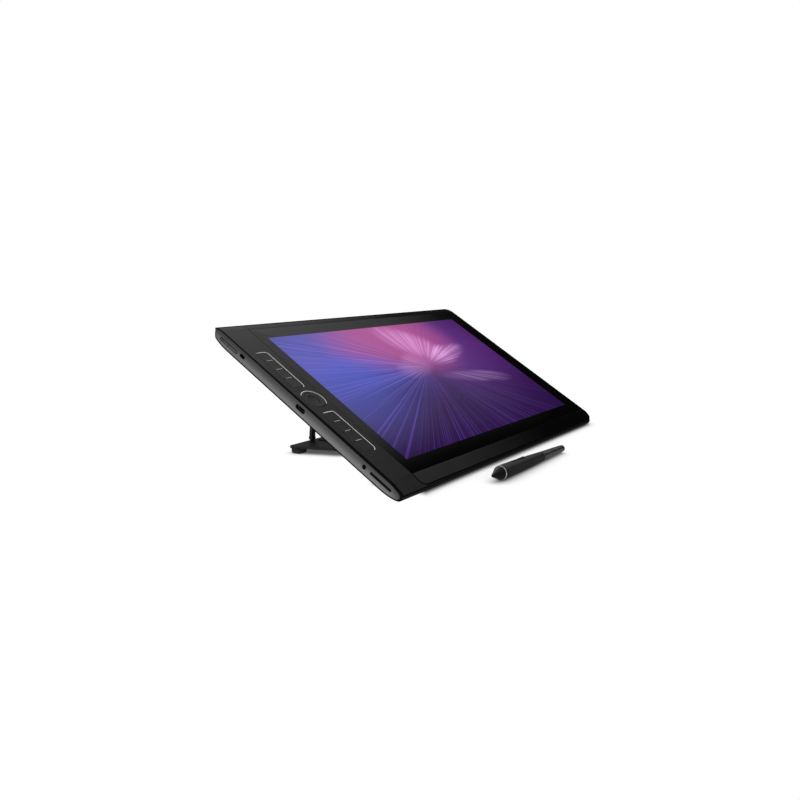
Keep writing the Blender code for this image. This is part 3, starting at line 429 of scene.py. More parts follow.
def light_burst(u, v, warped_u, warped_v):
    """Colour of the lit area: rays out of the focus and streaked lobes over the fields."""
    colour = colour_fields(warped_u, warped_v)
    px = (u - FOCUS[0]) * (SCREEN[0] / SCREEN[1])
    py = v - FOCUS[1]
    r = (px * px + py * py + 1e-5).sqrt()
    cos, sin = px / r, py / r

    def around(scale, detail, seed):
        """Noise that changes only with the direction from the focus."""
        at = derive("ShaderNodeCombineXYZ", {0: cos, 1: sin, 2: seed})
        return noise(at, scale, detail, rough=0.6)

    left_low = (cos * -0.72 + sin * -0.80).ramp(-0.50, 0.55)
    thin = around(46.0, detail=2.0, seed=0.0).ramp(0.48, 0.72) ** 1.8
    reach = r.ramp(0.10, 0.45) * r.ramp(1.75, 0.55)
    rays = thin * reach * (left_low * 0.95 + 0.10)
    ray_colour = mix(r.ramp(0.2, 1.2), (0.55, 0.24, 0.42), (0.20, 0.22, 0.85))
    colour = mix(rays * 0.62, colour, ray_colour, "ADD")
    dark_rays = around(21.0, detail=1.0, seed=9.1).ramp(0.48, 0.66) * (left_low * r.ramp(1.4, 0.2))
    colour = mix(dark_rays * 0.5, colour, (0.022, 0.008, 0.06))

    veins = around(26.0, detail=2.0, seed=5.3).ramp(0.42, 0.66)
    for lobe_u, lobe_v, wide_a, wide_b, tilt, level in LOBES:
        du, dv = warped_u - lobe_u, warped_v - lobe_v
        a = (du + dv * tilt) / wide_a
        b = (dv - du * tilt) / wide_b
        lobe = (a * a + b * b).ramp(1.9, 0.0)
        colour = mix(lobe * (0.45 + veins * 0.9) * level, colour, (0.66, 0.42, 0.74), "ADD")

    # darker towards the front and down the middle
    deep = v.ramp(0.42, -0.98, smooth=False)
    centre = abs(u - (-0.15)).ramp(0.75, 0.0) * (v.ramp(0.25, -0.25) * 0.35)
    colour = mix(minimum(deep + centre, 1.0), colour, (0.022, 0.004, 0.058))
    fine_rays = around(70.0, detail=2.0, seed=12.4).ramp(0.50, 0.68) ** 1.4
    fine_rays = fine_rays * r.ramp(0.12, 0.5) * ((0.15 + left_low * 0.85) * 0.30)
    colour = mix(fine_rays, colour, (0.20, 0.09, 0.62), "ADD")
    corner = (u * u + v * v).ramp(0.7, 2.3)
    return mix(corner * 0.35, colour, (0.02, 0.006, 0.05))


def display_glass(name):
    """Black etched cover glass with a painted grey reflection towards the rear left; the lit area glows
    with a plain abstract light burst.
    """
    net = Net(name)
    x, y, _ = split(net.at)
    u = (x - SCREEN_AT[0] * MM) * (2 / MM / SCREEN[0])
    v = (y - SCREEN_AT[1] * MM) * (2 / MM / SCREEN[1])
    blur = 0.0022    # softness of the lit area's edge
    inside = abs(u).ramp(1.0 + blur, 1.0 - blur) * abs(v).ramp(1.0 + blur, 1.0 - blur)
    warp = noise(net.at, 7.0, detail=2, rough=0.5)
    glow = light_burst(u, v, u + (warp - 0.5) * 0.35, v + (warp - 0.5) * -0.30)
    etch = noise(net.at, 5200.0, detail=2, rough=0.5)
    slow = noise(net.at, 9.0, detail=3, rough=0.5)
    # painted reflection: the black glass turns grey towards the rear left
    painted_reflection = y.ramp(-0.112, -0.035) * x.ramp(0.185, 0.02)
    base = mix(painted_reflection, (0.0009, 0.0009, 0.0010), (0.0210, 0.0210, 0.0215))
    net.set(color=mix(slow.ramp(0.3, 0.7) * 0.15, base, (0.0, 0.0, 0.0)), rough=0.13 + etch * 0.05,
            spec=0.05 + painted_reflection * 0.38, emission=glow, strength=inside * 0.98)
    net.bump(etch, strength=0.05, distance=4e-6)
    return net.material


# ---------------------------------------------------------------- the materials
PRINT = dict(cloud=300.0)
CORE = dict(own=False)    # pieces kept from the frame have no "own" attribute
UNDER = dict(tone=under_shade)
# name, colour, roughness, grain scale, grain depth (m), colour drift, specular, more
MOULDED = [
    ("case_moulding", (0.0165, 0.0165, 0.017), 0.46, 2400, 5e-5, 0.12, 0.45,
     dict(wear=0.12, tone=case_painted_light)),
    ("rear_shell_moulding", (0.015, 0.015, 0.0155), 0.56, 1500, 1e-4, 0.15, 0.4,
     dict(wear=0.15, tone=rear_painted_shade)),
    ("bezel_satin", (0.0165, 0.0165, 0.017), 0.36, 3200, 2e-5, 0.1, 0.45, dict(tone=bezel_painted_shade)),
    # lit and shaded copies of one key cap material: painted light on the rear row, painted shade on the
    # front row
    ("key_caps_rear_satin", (0.0245, 0.0245, 0.0250), 0.5, 3000, 3e-5, 0.12, 0.45, {}),
    ("key_caps_front_satin", (0.0160, 0.0160, 0.0165), 0.5, 3000, 3e-5, 0.12, 0.42, {}),
    ("side_button_satin", (0.034, 0.034, 0.035), 0.42, 3000, 3e-5, 0.12, 0.5, {}),
    ("ring_satin", (0.0200, 0.0200, 0.0205), 0.4, 3000, 3e-5, 0.12, 0.5, {}),
    ("white_print", (0.62, 0.62, 0.61), 0.55, 5200, 1e-5, 0.05, 0.4, PRINT),
    ("grey_print", (0.30, 0.30, 0.295), 0.55, 5200, 1e-5, 0.05, 0.4, PRINT),
    ("stand_powder_coat", (0.0075, 0.0075, 0.0077), 0.50, 1900, 5e-5, 0.12, 0.22, dict(wear=0.10)),
    ("strut_powder_coat", (0.0022, 0.0022, 0.0023), 0.5, 1900, 7e-5, 0.12, 0.3, dict(wear=0.06)),
    ("pen_body_satin", (0.0034, 0.0034, 0.0036), 0.31, 300, 0.0, 0.1, 1.0, UNDER),
    ("pen_cone_satin", (0.0026, 0.0026, 0.0027), 0.30, 300, 0.0, 0.12, 0.40, UNDER),
    ("pen_grip_rubber", (0.0032, 0.0032, 0.0034), 0.42, 300, 0.0, 0.12, 0.20, UNDER),
    ("pen_switch_satin", (0.0018, 0.0018, 0.0018), 0.40, 300, 0.0, 0.1, 0.12, {}),
    ("socket_plastic", (0.006, 0.006, 0.006), 0.6, 1800, 3e-5, 0.2, 0.3, CORE),
    ("battery_wrap", (0.03, 0.03, 0.032), 0.6, 500, 1.2e-4, 0.3, 0.4, CORE),
    ("panel_film", (0.05, 0.03, 0.14), 0.3, 3200, 1e-5, 0.2, 0.5, CORE),
]
# name, colour, roughness, metallic, noise scale along each axis, more
BRUSHED = [
    ("side_trim_brushed", (0.180, 0.180, 0.183), 0.46, 0.55, (900.0, 4.0, 2600.0),
     dict(vary=0.13, tone=side_painted_shade)),
    ("steel_satin", (0.50, 0.50, 0.51), 0.28, 1.0, (2600.0, 60.0, 60.0), {}),
    ("pin_black_oxide", (0.02, 0.02, 0.021), 0.34, 0.9, (2600.0, 60.0, 60.0), {}),
    ("pen_ring_satin", (0.36, 0.36, 0.365), 0.35, 0.85, (40.0, 900.0, 900.0), {}),
    ("port_shell", (0.16, 0.16, 0.165), 0.35, 1.0, (60.0, 900.0, 60.0), CORE),
    ("core_steel", (0.5, 0.5, 0.51), 0.3, 1.0, (2600.0, 60.0, 60.0), CORE),
    ("chassis_stamped", (0.5, 0.5, 0.51), 0.42, 0.95, (900.0, 12.0, 12.0), CORE),
    ("copper_bare", (0.72, 0.36, 0.2), 0.28, 1.0, (30.0, 900.0, 900.0), CORE),
]
MATERIAL = {row[0]: moulded(*row[:-1], **row[-1]) for row in MOULDED}
MATERIAL |= {row[0]: brushed(*row[:-1], **row[-1]) for row in BRUSHED}
MATERIAL["rubber_black"] = rubber("rubber_black", (0.007, 0.007, 0.007), rough=0.8, cells=900.0)
MATERIAL["board_mask"] = board("board_mask")
MATERIAL["cover_glass_display"] = display_glass("cover_glass_display")


# ---------------------------------------------------------------- from shapes to objects
def to_object(name, bm, scale=MM):
    """Turns a bmesh into a linked object."""
    bmesh.ops.recalc_face_normals(bm, faces=bm.faces)
    mesh = bpy.data.meshes.new(name)
    bm.to_mesh(mesh)
    bm.free()
    mesh.transform(Matrix.Scale(scale, 4))
    thing = bpy.data.objects.new(name, mesh)
    bpy.context.scene.collection.objects.link(thing)
    return thing


def discard(thing):
    mesh = thing.data
    bpy.data.objects.remove(thing)
    bpy.data.meshes.remove(mesh)


def add_boolean(thing, tool, operation):
    boolean = thing.modifiers.new("boolean", "BOOLEAN")
    boolean.operation = operation
    boolean.solver = "EXACT"
    boolean.object = tool


def evaluated_mesh(thing):
    bpy.context.view_layer.update()
    depsgraph = bpy.context.evaluated_depsgraph_get()
    return bpy.data.meshes.new_from_object(thing.evaluated_get(depsgraph))


def build(name, bm, material, matrix, body, replaces=None, angle=32, bevel=None,
          cutters=(), joins=(), weighted=True):
    """Bakes joins, cutters and bevel into one mesh, placed by matrix, riding on body.

    bevel is (width, segments, angle); angle is where shading turns sharp, in degrees.
    """
    thing = to_object(name, bm)
    thing.data.materials.append(MATERIAL[material])
    tools = []
    for operation, shapes in (("UNION", joins), ("DIFFERENCE", cutters)):
        for shape in shapes:
            tools.append(to_object("tool", shape))
            add_boolean(thing, tools[-1], operation)
    if bevel:
        weld = thing.modifiers.new("weld", "WELD")
        weld.merge_threshold = 0.000002
        edge = thing.modifiers.new("edge", "BEVEL")
        edge.width = bevel[0] * MM
        edge.segments = bevel[1]
        edge.limit_method = "ANGLE"
        edge.angle_limit = rad(bevel[2])
        edge.miter_outer = "MITER_ARC"
        edge.use_clamp_overlap = True
    mesh = evaluated_mesh(thing)
    plain_mesh = thing.data
    thing.modifiers.clear()
    thing.data = mesh
    bpy.data.meshes.remove(plain_mesh)
    mesh.name = name
    for tool in tools:
        discard(tool)
    mesh.shade_smooth()
    mesh.set_sharp_from_angle(angle=rad(angle))
    if weighted:
        normals = thing.modifiers.new("normals", "WEIGHTED_NORMAL")
        normals.keep_sharp = True
        normals.weight = 60
    own = mesh.attributes.new("own", "FLOAT_VECTOR", "POINT")
    own.data.foreach_set("vector", [c for v in mesh.vertices for c in v.co])
    mesh.transform(matrix)
    if replaces:
        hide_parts(replaces)
    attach(thing, body)


# ---------------------------------------------------------------- solids (mm)
def box(size, centre, bm):
    made = bmesh.ops.create_cube(bm, size=1.0)["verts"]
    bmesh.ops.scale(bm, vec=size, verts=made)
    bmesh.ops.translate(bm, vec=centre, verts=made)


TURN = {"Z": Matrix(), "X": Matrix.Rotation(rad(90), 4, "Y")}


def cylinder(radius, length, centre, axis="Z", seg=48, bm=None):
    bm = bm or bmesh.new()
    made = bmesh.ops.create_cone(bm, cap_ends=True, segments=seg, radius1=radius, radius2=radius,
                                 depth=length)["verts"]
    bmesh.ops.transform(bm, matrix=Matrix.Translation(centre) @ TURN[axis], verts=made)
    return bm


def loft(loops, axis="Z", bm=None):
    """Closed solid through (outline, w) loops of equal length; w runs along axis."""
    bm = bm or bmesh.new()

    def put(u, v, w):
        return {"Z": (u, v, w), "X": (w, u, v), "Y": (u, w, v)}[axis]

    rings = [[bm.verts.new(put(u, v, w)) for u, v in outline] for outline, w in loops]
    count = len(rings[0])
    for a, b in zip(rings, rings[1:]):
        for k in range(count):
            bm.faces.new((a[k], a[(k + 1) % count], b[(k + 1) % count], b[k]))
    bm.faces.new(rings[0][::-1])
    bm.faces.new(rings[-1])
    return bm


def prism(outline, start, end, axis="Z", bm=None):
    return loft([(outline, start), (outline, end)], axis, bm)


def stepped(outline_at, steps, axis="Z"):
    """Loft whose outline changes with height; steps are (height, argument of outline_at)."""
    return loft([(outline_at(grow), height) for height, grow in steps], axis)


def flared_hole(outline_at, start, lip, end, flare, axis="Z"):
    """Cutter whose mouth opens by flare past the lip, so the edge it leaves is softened."""
    out = flare if end > lip else -flare
    return stepped(outline_at, [(start, 0.0), (lip, 0.0), (lip + out * 0.65, flare * 0.35),
                                (lip + out, flare), (end, flare * 1.6)], axis)


def turned(profile, seg=72, axis="X", shape=None):
    """Solid of revolution through (place along axis, radius); shape(x, angle) scales the radius."""
    bm = bmesh.new()
    rings = []
    for x, radius in profile:
        ring = []
        count = 1 if radius < 1e-6 else seg
        for k in range(count):
            a = 2 * math.pi * k / seg
            r = radius * (shape(x, a) if shape and count > 1 else 1.0)
            u, v = r * math.cos(a), r * math.sin(a)
            ring.append(bm.verts.new((x, u, v) if axis == "X" else (u, v, x)))
        rings.append(ring)
    for a, b in zip(rings, rings[1:]):
        for k in range(seg):
            j = (k + 1) % seg
            if len(a) == 1:
                bm.faces.new((a[0], b[k], b[j]))
            elif len(b) == 1:
                bm.faces.new((a[k], b[0], a[j]))
            else:
                bm.faces.new((a[k], b[k], b[j], a[j]))
    return bm


def rod(radius, half, chamfer, middle, seg):
    """Pin along x with rounded rims; middle is the rim's mid point, in from the end and surface."""
    end = [(-half, 0), (-half, radius - chamfer), (-half + middle[0], radius - middle[1]),
           (-half + chamfer, radius)]
    return turned(end + [(-x, r) for x, r in reversed(end)], seg)


# ---------------------------------------------------------------- outlines and curves (mm)
def rounded(x0, x1, y0, y1, radii, seg=10, grow=0.0):
    """Rectangle with rounded corners, from front left counterclockwise, grown all round."""
    if not isinstance(radii, tuple):
        radii = (radii,) * 4
    x0, x1, y0, y1 = x0 - grow, x1 + grow, y0 - grow, y1 + grow
    points = []
    corners = ((x0, y0, 180), (x1, y0, 270), (x1, y1, 0), (x0, y1, 90))
    for (x, y, start), radius in zip(corners, radii):
        radius = max(0.02, radius + grow)
        centre_x, centre_y = x + (radius if x == x0 else -radius), y + (radius if y == y0 else -radius)
        for k in range(seg + 1):
            a = rad(start + 90 * k / seg)
            points.append((centre_x + radius * math.cos(a), centre_y + radius * math.sin(a)))
    return points


def stadium(length, height, centre=(0, 0), seg=12, grow=0.0):
    (x, y), half_x, half_y = centre, length / 2, height / 2
    return rounded(x - half_x, x + half_x, y - half_y, y + half_y, half_y - 1e-3, seg, grow)


def circle(radius, centre, seg):
    angles = [2 * math.pi * k / seg for k in range(seg)]
    return [(centre[0] + radius * math.cos(a), centre[1] + radius * math.sin(a)) for a in angles]


def round_corners(points, radii, seg=5):
    """Closed outline with each corner replaced by a curve that starts radius away from it."""
    outline = []
    for k, radius in enumerate(radii):
        before, at, after = (Vector(points[j % len(points)]) for j in (k - 1, k, k + 1))
        start = at + (before - at).normalized() * radius
        end = at + (after - at).normalized() * radius
        for t in (j / seg for j in range(seg + 1)):
            outline.append(tuple(start * (1 - t) ** 2 + at * 2 * t * (1 - t) + end * t * t))
    return outline


def curve_through(points, per):
    """Catmull-Rom curve through a list of pairs, with per steps to a span."""
    out = []
    padded = [points[0]] + list(points) + [points[-1]]
    for i in range(1, len(padded) - 2):
        for t in (s / per for s in range(per)):
            out.append(tuple(
                0.5 * (2 * b + (c - a) * t + (2 * a - 5 * b + 4 * c - d) * t * t
                       + (3 * b - a - 3 * c + d) * t ** 3)
                for a, b, c, d in zip(*padded[i - 1:i + 3])))
    out.append(points[-1])
    return out


def smooth_table(points, breaks, per=5):
    """The same curve, rounded between its knots; it stays straight between the breaks."""
    def smoothed(run):
        return curve_through(run, per) if len(run) > 2 else run

    out, run = [], [points[0]]
    for point in points[1:]:
        run.append(point)
        if point[0] in breaks:
            out += smoothed(run)[:-1]
            run = [point]
    return out + smoothed(run)


def lerp(table, at):
    """Second column of the table where its first column is at."""
    if at <= table[0][0]:
        return table[0][1]
    for (a, value_a), (b, value_b) in zip(table, table[1:]):
        if at <= b:
            return value_a + (value_b - value_a) * (at - a) / (b - a)
    return table[-1][1]


def smooth01(t):
    t = max(0.0, min(1.0, t))
    return t * t * (3 - 2 * t)


def spread(a, b, n):
    return [a + (b - a) * k / n for k in range(n + 1)]


# ---------------------------------------------------------------- casing surfaces
# (y, n) along the middle of the top face, from front to rear
TOP = smooth_table([
    (-128.0, -4.4), (-127.6, -3.6), (-126.6, -2.75), (-124.5, -1.9), (-121.0, -1.2), (-117.0, -0.65),
    (-113.5, -0.2), (-110.0, 0.0), (117.0, 0.0), (120.5, -0.35), (124.0, -0.95), (126.8, -1.6),
    (128.0, -2.3)], breaks=(-110.0, 117.0))
# (y, n) along the rim of the underside
RIM = smooth_table([
    (-128.0, -6.0), (-127.5, -7.2), (-126.0, -8.5), (-123.0, -9.9), (-118.5, -11.1),
    (-112.0, -12.1), (-105.0, -12.5), (100.0, -13.3), (109.5, -13.1), (116.5, -12.2),
    (121.5, -11.1), (123.4, -10.1), (124.4, -8.7), (125.4, -6.8), (126.1, -5.55)],
    breaks=(-105.0, 100.0))
# (distance from the middle, fall of the top face) at the left and right ends
END_FALL = [(204.6, 0.0), (206.6, -0.06), (208.2, -0.18), (208.8, -0.3)]
REAR_LEAN_Y = 124.0


def top_n(y):
    return lerp(TOP, y)


def cover_n(x, y):
    return top_n(y) + lerp(END_FALL, abs(x)) * max(0.0, min(1.0, (127.8 - abs(y)) / 5.0))


def under_n(x, y):
    """Underside: rises from the flat belly to the rim over 26 mm."""
    rim = lerp(RIM, y)
    across = smooth01((HALF_X - 0.4 - abs(x)) / 26.0)
    return rim - (rim - BELLY_N) * across * smooth01((122.0 - abs(y)) / 26.0)


def soft_corner(x, y, inset):
    """Pulls a point of the plan in to the rounded corner of the casing."""
    radius = max(0.3, CORNERS[x > 0, y > 0] - inset)
    centre_x, centre_y = HALF_X - 0.2 - inset - radius, HALF_Y - inset - radius
    dx, dy = abs(x) - centre_x, abs(y) - centre_y
    if dx <= 0 or dy <= 0:
        return x, y
    k = max(dx, dy) / math.hypot(dx, dy)
    return math.copysign(centre_x + dx * k, x), math.copysign(centre_y + dy * k, y)


def rear_slope(y):
    """The rear face leans inwards below its top edge."""
    return y if y <= REAR_LEAN_Y else REAR_LEAN_Y + (y - REAR_LEAN_Y) * 0.6


def close_rim(bm, grid, other):
    """Walls between the borders of two grids of vertices; gives the border's indices."""
    rows, cols = len(grid), len(grid[0])
    rim = [(0, i) for i in range(cols)] + [(j, cols - 1) for j in range(1, rows)]
    rim += [(rows - 1, i) for i in range(cols - 2, -1, -1)] + [(j, 0) for j in range(rows - 2, 0, -1)]
    for (a, b), (c, d) in zip(rim, rim[1:] + rim[:1]):
        bm.faces.new((grid[a][b], other[a][b], other[c][d], grid[c][d]))
    return rim


def block(xs, ys, height, flat, inset=None, lean=False):
    """Closed block between the surface n = height(x, y) and the plane n = flat."""
    bm = bmesh.new()

    def plan(x, y):
        return (x, y) if inset is None else soft_corner(x, y, inset)

    grid = [[bm.verts.new((*plan(x, y), height(x, y))) for x in xs] for y in ys]
    base = [[bm.verts.new((v.co.x, rear_slope(v.co.y) if lean else v.co.y, flat)) for v in row]
            for row in grid]
    for near, far in zip(grid, grid[1:]):
        for i in range(len(xs) - 1):
            bm.faces.new((near[i], near[i + 1], far[i + 1], far[i]))
    rim = close_rim(bm, grid, base)
    bm.faces.new([base[a][b] for a, b in rim])
    loose = [v for v in bm.verts if not v.link_faces]
    bmesh.ops.delete(bm, geom=loose, context="VERTS")
    return bm


# ---------------------------------------------------------------- outline of the end panels
# side: first y, last y, rounding length at each, (low, high) n at each
TRIM_FORM = {-1: (-125.6, 126.2, 2.2, 1.2, (-6.4, -4.9), (-4.3, -2.9)),
             1: (-113.6, 118.6, 1.6, 1.6, (-9.6, -2.4), (-9.6, -2.4))}
# (y, lowest n) where the left panel follows the leaning rear face
TRIM_LEAN = [(122.0, -40.0), (122.9, -9.7), (123.6, -8.6), (124.6, -6.7), (125.5, -4.9), (126.2, -3.6)]


def trim_section(y, side):
    """Lowest and highest n of the panel at y."""
    first, last, round_first, round_last, span_first, span_last = TRIM_FORM[side]
    low, high = lerp(RIM, y) + 0.75, top_n(y) - 0.85
    if side < 0:
        low = max(low, lerp(TRIM_LEAN, y))
    for t, (end_low, end_high) in ((smooth01((y - first) / round_first), span_first),
                                   (smooth01((last - y) / round_last), span_last)):
        share = math.sqrt(t)
        if end_low > low:
            low = end_low + (low - end_low) * share
        if end_high < high:
            high = end_high + (high - end_high) * share
    return low, high


def trim_ys(side):
    first, last = TRIM_FORM[side][:2]
    return ([first] + [first + d for d in (0.12, 0.35, 0.7, 1.2, 1.8)]
            + spread(first + 2.5, -107.0, 12) + spread(-104.0, 100.0, 34)
            + spread(103.0, last - 1.2, 20) + [last - d for d in (0.8, 0.45, 0.2, 0.06)] + [last])


def side_pockets(grow=GAP * 0.6):
    """Cutters for the pockets of both end panels: the panels' outlines grown a little."""
    cutters = []
    for side in (-1, 1):
        ys = trim_ys(side)
        lower = [(y, trim_section(y, side)[0] - grow) for y in ys]
        upper = [(y, trim_section(y, side)[1] + grow) for y in ys]
        first, last, half = ys[0] - grow, ys[-1] + grow, grow * 0.5
        outline = [(first, lower[0][1] + half)] + lower
        outline += [(last, lower[-1][1] + half), (last, upper[-1][1] - half)]
        outline += upper[::-1] + [(first, upper[0][1] - half)]
        cutters.append(prism(outline, side * 207.2, side * 214.0, "X"))
    return cutters


# ---------------------------------------------------------------- front cover
INNER_XS = spread(-207.6, -181.0, 8) + spread(181.0, 194.8, 3) + spread(196.8, 207.6, 7)


def seam_outline(grow):
    return rounded(*SEAM_X, *SEAM_Y, SEAM_RADII, 10, grow)


def front_cover():
    ends = [204.6, 205.6, 206.4, 207.0, 207.5, 207.9, 208.2, 208.45, 208.65, 208.8]
    xs = [-x for x in ends[::-1]] + [-150, -75, 0, 75, 150] + spread(194.8, 204.0, 9) + ends
    ys = sorted({round(point[0], 4) for point in TOP} | {-127.9, -127.8})
    inner_ys = [-126.2, -125.0, -123.0, -121.0, -119.0, -117.0, -113.5, -110.0,
                117.0, 119.0, 121.0, 122.6, 124.2]
    cutters = [block(INNER_XS, inner_ys, lambda x, y: top_n(y) - WALL, -12.0, 1.2)]
    cutters += side_pockets()
    cutters.append(flared_hole(lambda d: seam_outline(d + 0.22), -12, -0.30, 3, flare=0.3))
    half_x, half_y = KEY_W / 2 + GAP, 1.5 * KEY_PITCH + KEY_H / 2 + GAP
    for row in KEY_ROWS:
        window = (KEY_X - half_x, KEY_X + half_x, row - half_y, row + half_y, 2.2, 8)
        cutters.append(flared_hole(lambda d: rounded(*window, d), -8, -0.32, 3, flare=0.32))
    cutters.append(flared_hole(lambda d: circle(11.65 + d, RING_AT, 96), -8, -0.40, 3, flare=0.4))
    build("front_cover_shell", block(xs, ys, cover_n, -4.9, 0.0, lean=True), "case_moulding",
          TABLET, "tablet", "front_cover", 30, cutters=cutters)


front_cover()

# ---------------------------------------------------------------- rear shell
SCREWS = [(x, y) for y in (72.5, 103.5) for x in (-70.0, 70.0)]
SCREW_HOLE = 1.8
VENT_X = -148


def rear_openings():
    """Slots and screw holes through the underside, and vents through the rear face."""
    bm = bmesh.new()
    slots = [(VENT_X + (k - 4) * 4.6, 1.1, 40, 70) for k in range(9)]
    slots += [(side * (150 + (k - 2) * 4.2), 0.9, -88.5, -79.5) for side in (-1, 1) for k in range(5)]
    for x, half, y0, y1 in slots:
        prism(rounded(x - half, x + half, y0, y1, half - 0.01, 5), -26, -13, "Z", bm)
    for k in range(6):
        box((9.0, 12.0, 1.4), (VENT_X + (k - 2.5) * 12.0, 128, -8.0), bm)
    for x, y in SCREWS:
        cylinder(SCREW_HOLE, 14, (x, y, -20), seg=32, bm=bm)
    return bm


def rear_shell():
    xs = ([-208.8, -208.5, -208.0, -207.0, -206.0] + spread(-204.0, -180.0, 10)
          + spread(-170.0, 170.0, 6) + spread(180.0, 204.0, 14)
          + [205.2, 206.2, 207.2, 208.0, 208.5, 208.8])
    ys = sorted({round(point[0], 4) for point in RIM if abs(point[0]) >= 122.0}
                | set(spread(-121.0, -94.0, 12) + spread(-80, 80, 4) + spread(94.0, 121.5, 12)))
    inner_ys = spread(-126.2, -97.0, 10) + spread(97.0, 123.5, 10)
    inside = block(INNER_XS, inner_ys, lambda x, y: under_n(x, y) + WALL, 2.0, 1.2)
    build("rear_shell", block(xs, ys, under_n, -5.25, 0.0), "rear_shell_moulding", TABLET, "tablet",
          "back_cover", 30, cutters=[inside, *side_pockets(), rear_openings()])


rear_shell()


# ---------------------------------------------------------------- end panels with their openings
def end_panel(side, steps=14):
    """Panel with a bulging outer face; steps run up its height."""
    bm = bmesh.new()
    rows = []
    for y in trim_ys(side):
        low, high = trim_section(y, side)
        height = high - low
        row = []
        for t in (k / steps for k in range(steps + 1)):
            c = 2 * t - 1
            bulge = 0.62 * min(1.0, height / 9.0) * (1 - c * c) - 0.2 * c ** 8
            row.append(bm.verts.new((side * (208.45 + bulge), y, low + height * t)))
        rows.append(row)
    back = [[bm.verts.new((side * 207.5, v.co.y, v.co.z)) for v in row] for row in rows]
    for j in range(len(rows) - 1):
        for i in range(steps):
            bm.faces.new((rows[j][i], rows[j][i + 1], rows[j + 1][i + 1], rows[j + 1][i]))
            bm.faces.new((back[j][i], back[j + 1][i], back[j + 1][i + 1], back[j][i + 1]))
    close_rim(bm, rows, back)
    return bm


def opening_cutter(side, y, n, length, height, flare, clearance):
    def outline(grow):
        if length == height:
            return circle(height / 2 + grow, (y, n), 40)
        return stadium(length, height, (y, n), grow=grow + clearance)
    return flared_hole(outline, side * 205.5, side * 208.75, side * 211.0, flare, "X")


for word, side in SIDES:
    build(word + "_side_panel", end_panel(side), "side_trim_brushed", TABLET, "tablet",
          word + "_side_trim", 35,
          cutters=[opening_cutter(*row) for row in OPENINGS if row[0] == side])

# ---------------------------------------------------------------- glass and bezel strips
build("cover_glass_lit",
      stepped(lambda d: rounded(*INSIDE_X, *GLASS_Y, 0.8, 6, d),
              [(-1.1, 0.0), (-0.22, 0.0), (-0.09, -0.06), (-0.02, -0.16), (0.0, -0.28)]),
      "cover_glass_display", TABLET, "tablet", "cover_glass", 40, weighted=False)


def window_surround():
    """Everything round the cover's window: a large block less the window's inside."""
    slab = to_object("slab", prism(rounded(-260, 260, -180, 180, 1), -6, 6), scale=1)
    window = to_object("window", prism(seam_outline(-GAP), -9, 9), scale=1)
    add_boolean(slab, window, "DIFFERENCE")
    mesh = evaluated_mesh(slab)
    bm = bmesh.new()
    bm.from_mesh(mesh)
    bpy.data.meshes.remove(mesh)
    discard(slab)
    discard(window)
    return bm


def bezel_strip(word, y0, y1, rows):
    """Sloped strip whose plan follows the cover's window, with softened edges."""
    xs = [INSIDE_X[0] - 2] + spread(-170, 200, 10) + [INSIDE_X[1] + 2]
    strip = block(xs, spread(y0, y1, rows), lambda x, y: top_n(y) - 0.02, -4.2)
    build(word + "_bezel", strip, "bezel_satin", TABLET, "tablet", word + "_bezel_strip",
          30, cutters=[window_surround()], bevel=(0.22, 2, 50))


bezel_strip("front", -125.6, GLASS_Y[0] - GAP, rows=16)
bezel_strip("rear", GLASS_Y[1] + GAP, 126.0, rows=10)

# ---------------------------------------------------------------- keys
KEY_STEPS = [(-2.7, 0.0), (-0.02, 0.0), (0.17, -0.10), (0.27, -0.28), (0.31, -0.55), (0.30, -1.6),
             (0.27, -3.2)]    # (n, growth of the outline)
MARK_AT = (1.0, -KEY_H / 2 + 0.42)


def key_outline(grow):
    return rounded(-KEY_W / 2, KEY_W / 2, -KEY_H / 2, KEY_H / 2, 1.2, 6, grow)


def key(number, y, material, marked):
    """Key cap, with a printed mark along its front edge where marked."""
    at = TABLET @ shift(KEY_X, y)
    body = "key_%d" % number
    build("key_cap_%d" % number, stepped(key_outline, KEY_STEPS), material, at, body,
          "express_key_%d" % number, 40, weighted=False)
    if marked:
        mark = stepped(lambda d: stadium(8.0, 0.6, MARK_AT, 6, d),
                       [(0.0, 0.0), (0.30, 0.0), (0.36, -0.06)])
        build("key_mark_%d" % number, mark, "grey_print", at, body, weighted=False)


# the rear row gets the paler painted-light copy, the front row the darker painted-shade copy
for row, material in enumerate(("key_caps_rear_satin", "key_caps_front_satin")):
    for k in range(4):
        key(4 * row + k + 1, KEY_ROWS[row] + (1.5 - k) * KEY_PITCH, material, marked=k < 3)


# ---------------------------------------------------------------- printed lines on the cover
def printed_line(name, path, width, taper=1.0):
    """Flat line along a path, slightly raised; taper is the share of width left at its ends."""
    last = len(path) - 1
    left, right = [], []
    for k, (x, y) in enumerate(path):
        (ax, ay), (bx, by) = path[max(0, k - 1)], path[min(last, k + 1)]
        dx, dy = bx - ax, by - ay
        length = math.hypot(dx, dy)
        full = min(k, last - k) / max(1, len(path) * 0.06)
        half = width / 2 * (taper + (1 - taper) * min(1, full))
        left.append((x - dy / length * half, y + dx / length * half))
        right.append((x + dy / length * half, y - dx / length * half))
    build(name, prism(left + right[::-1], -0.06, 0.03), "white_print", TABLET, "tablet",
          weighted=False)


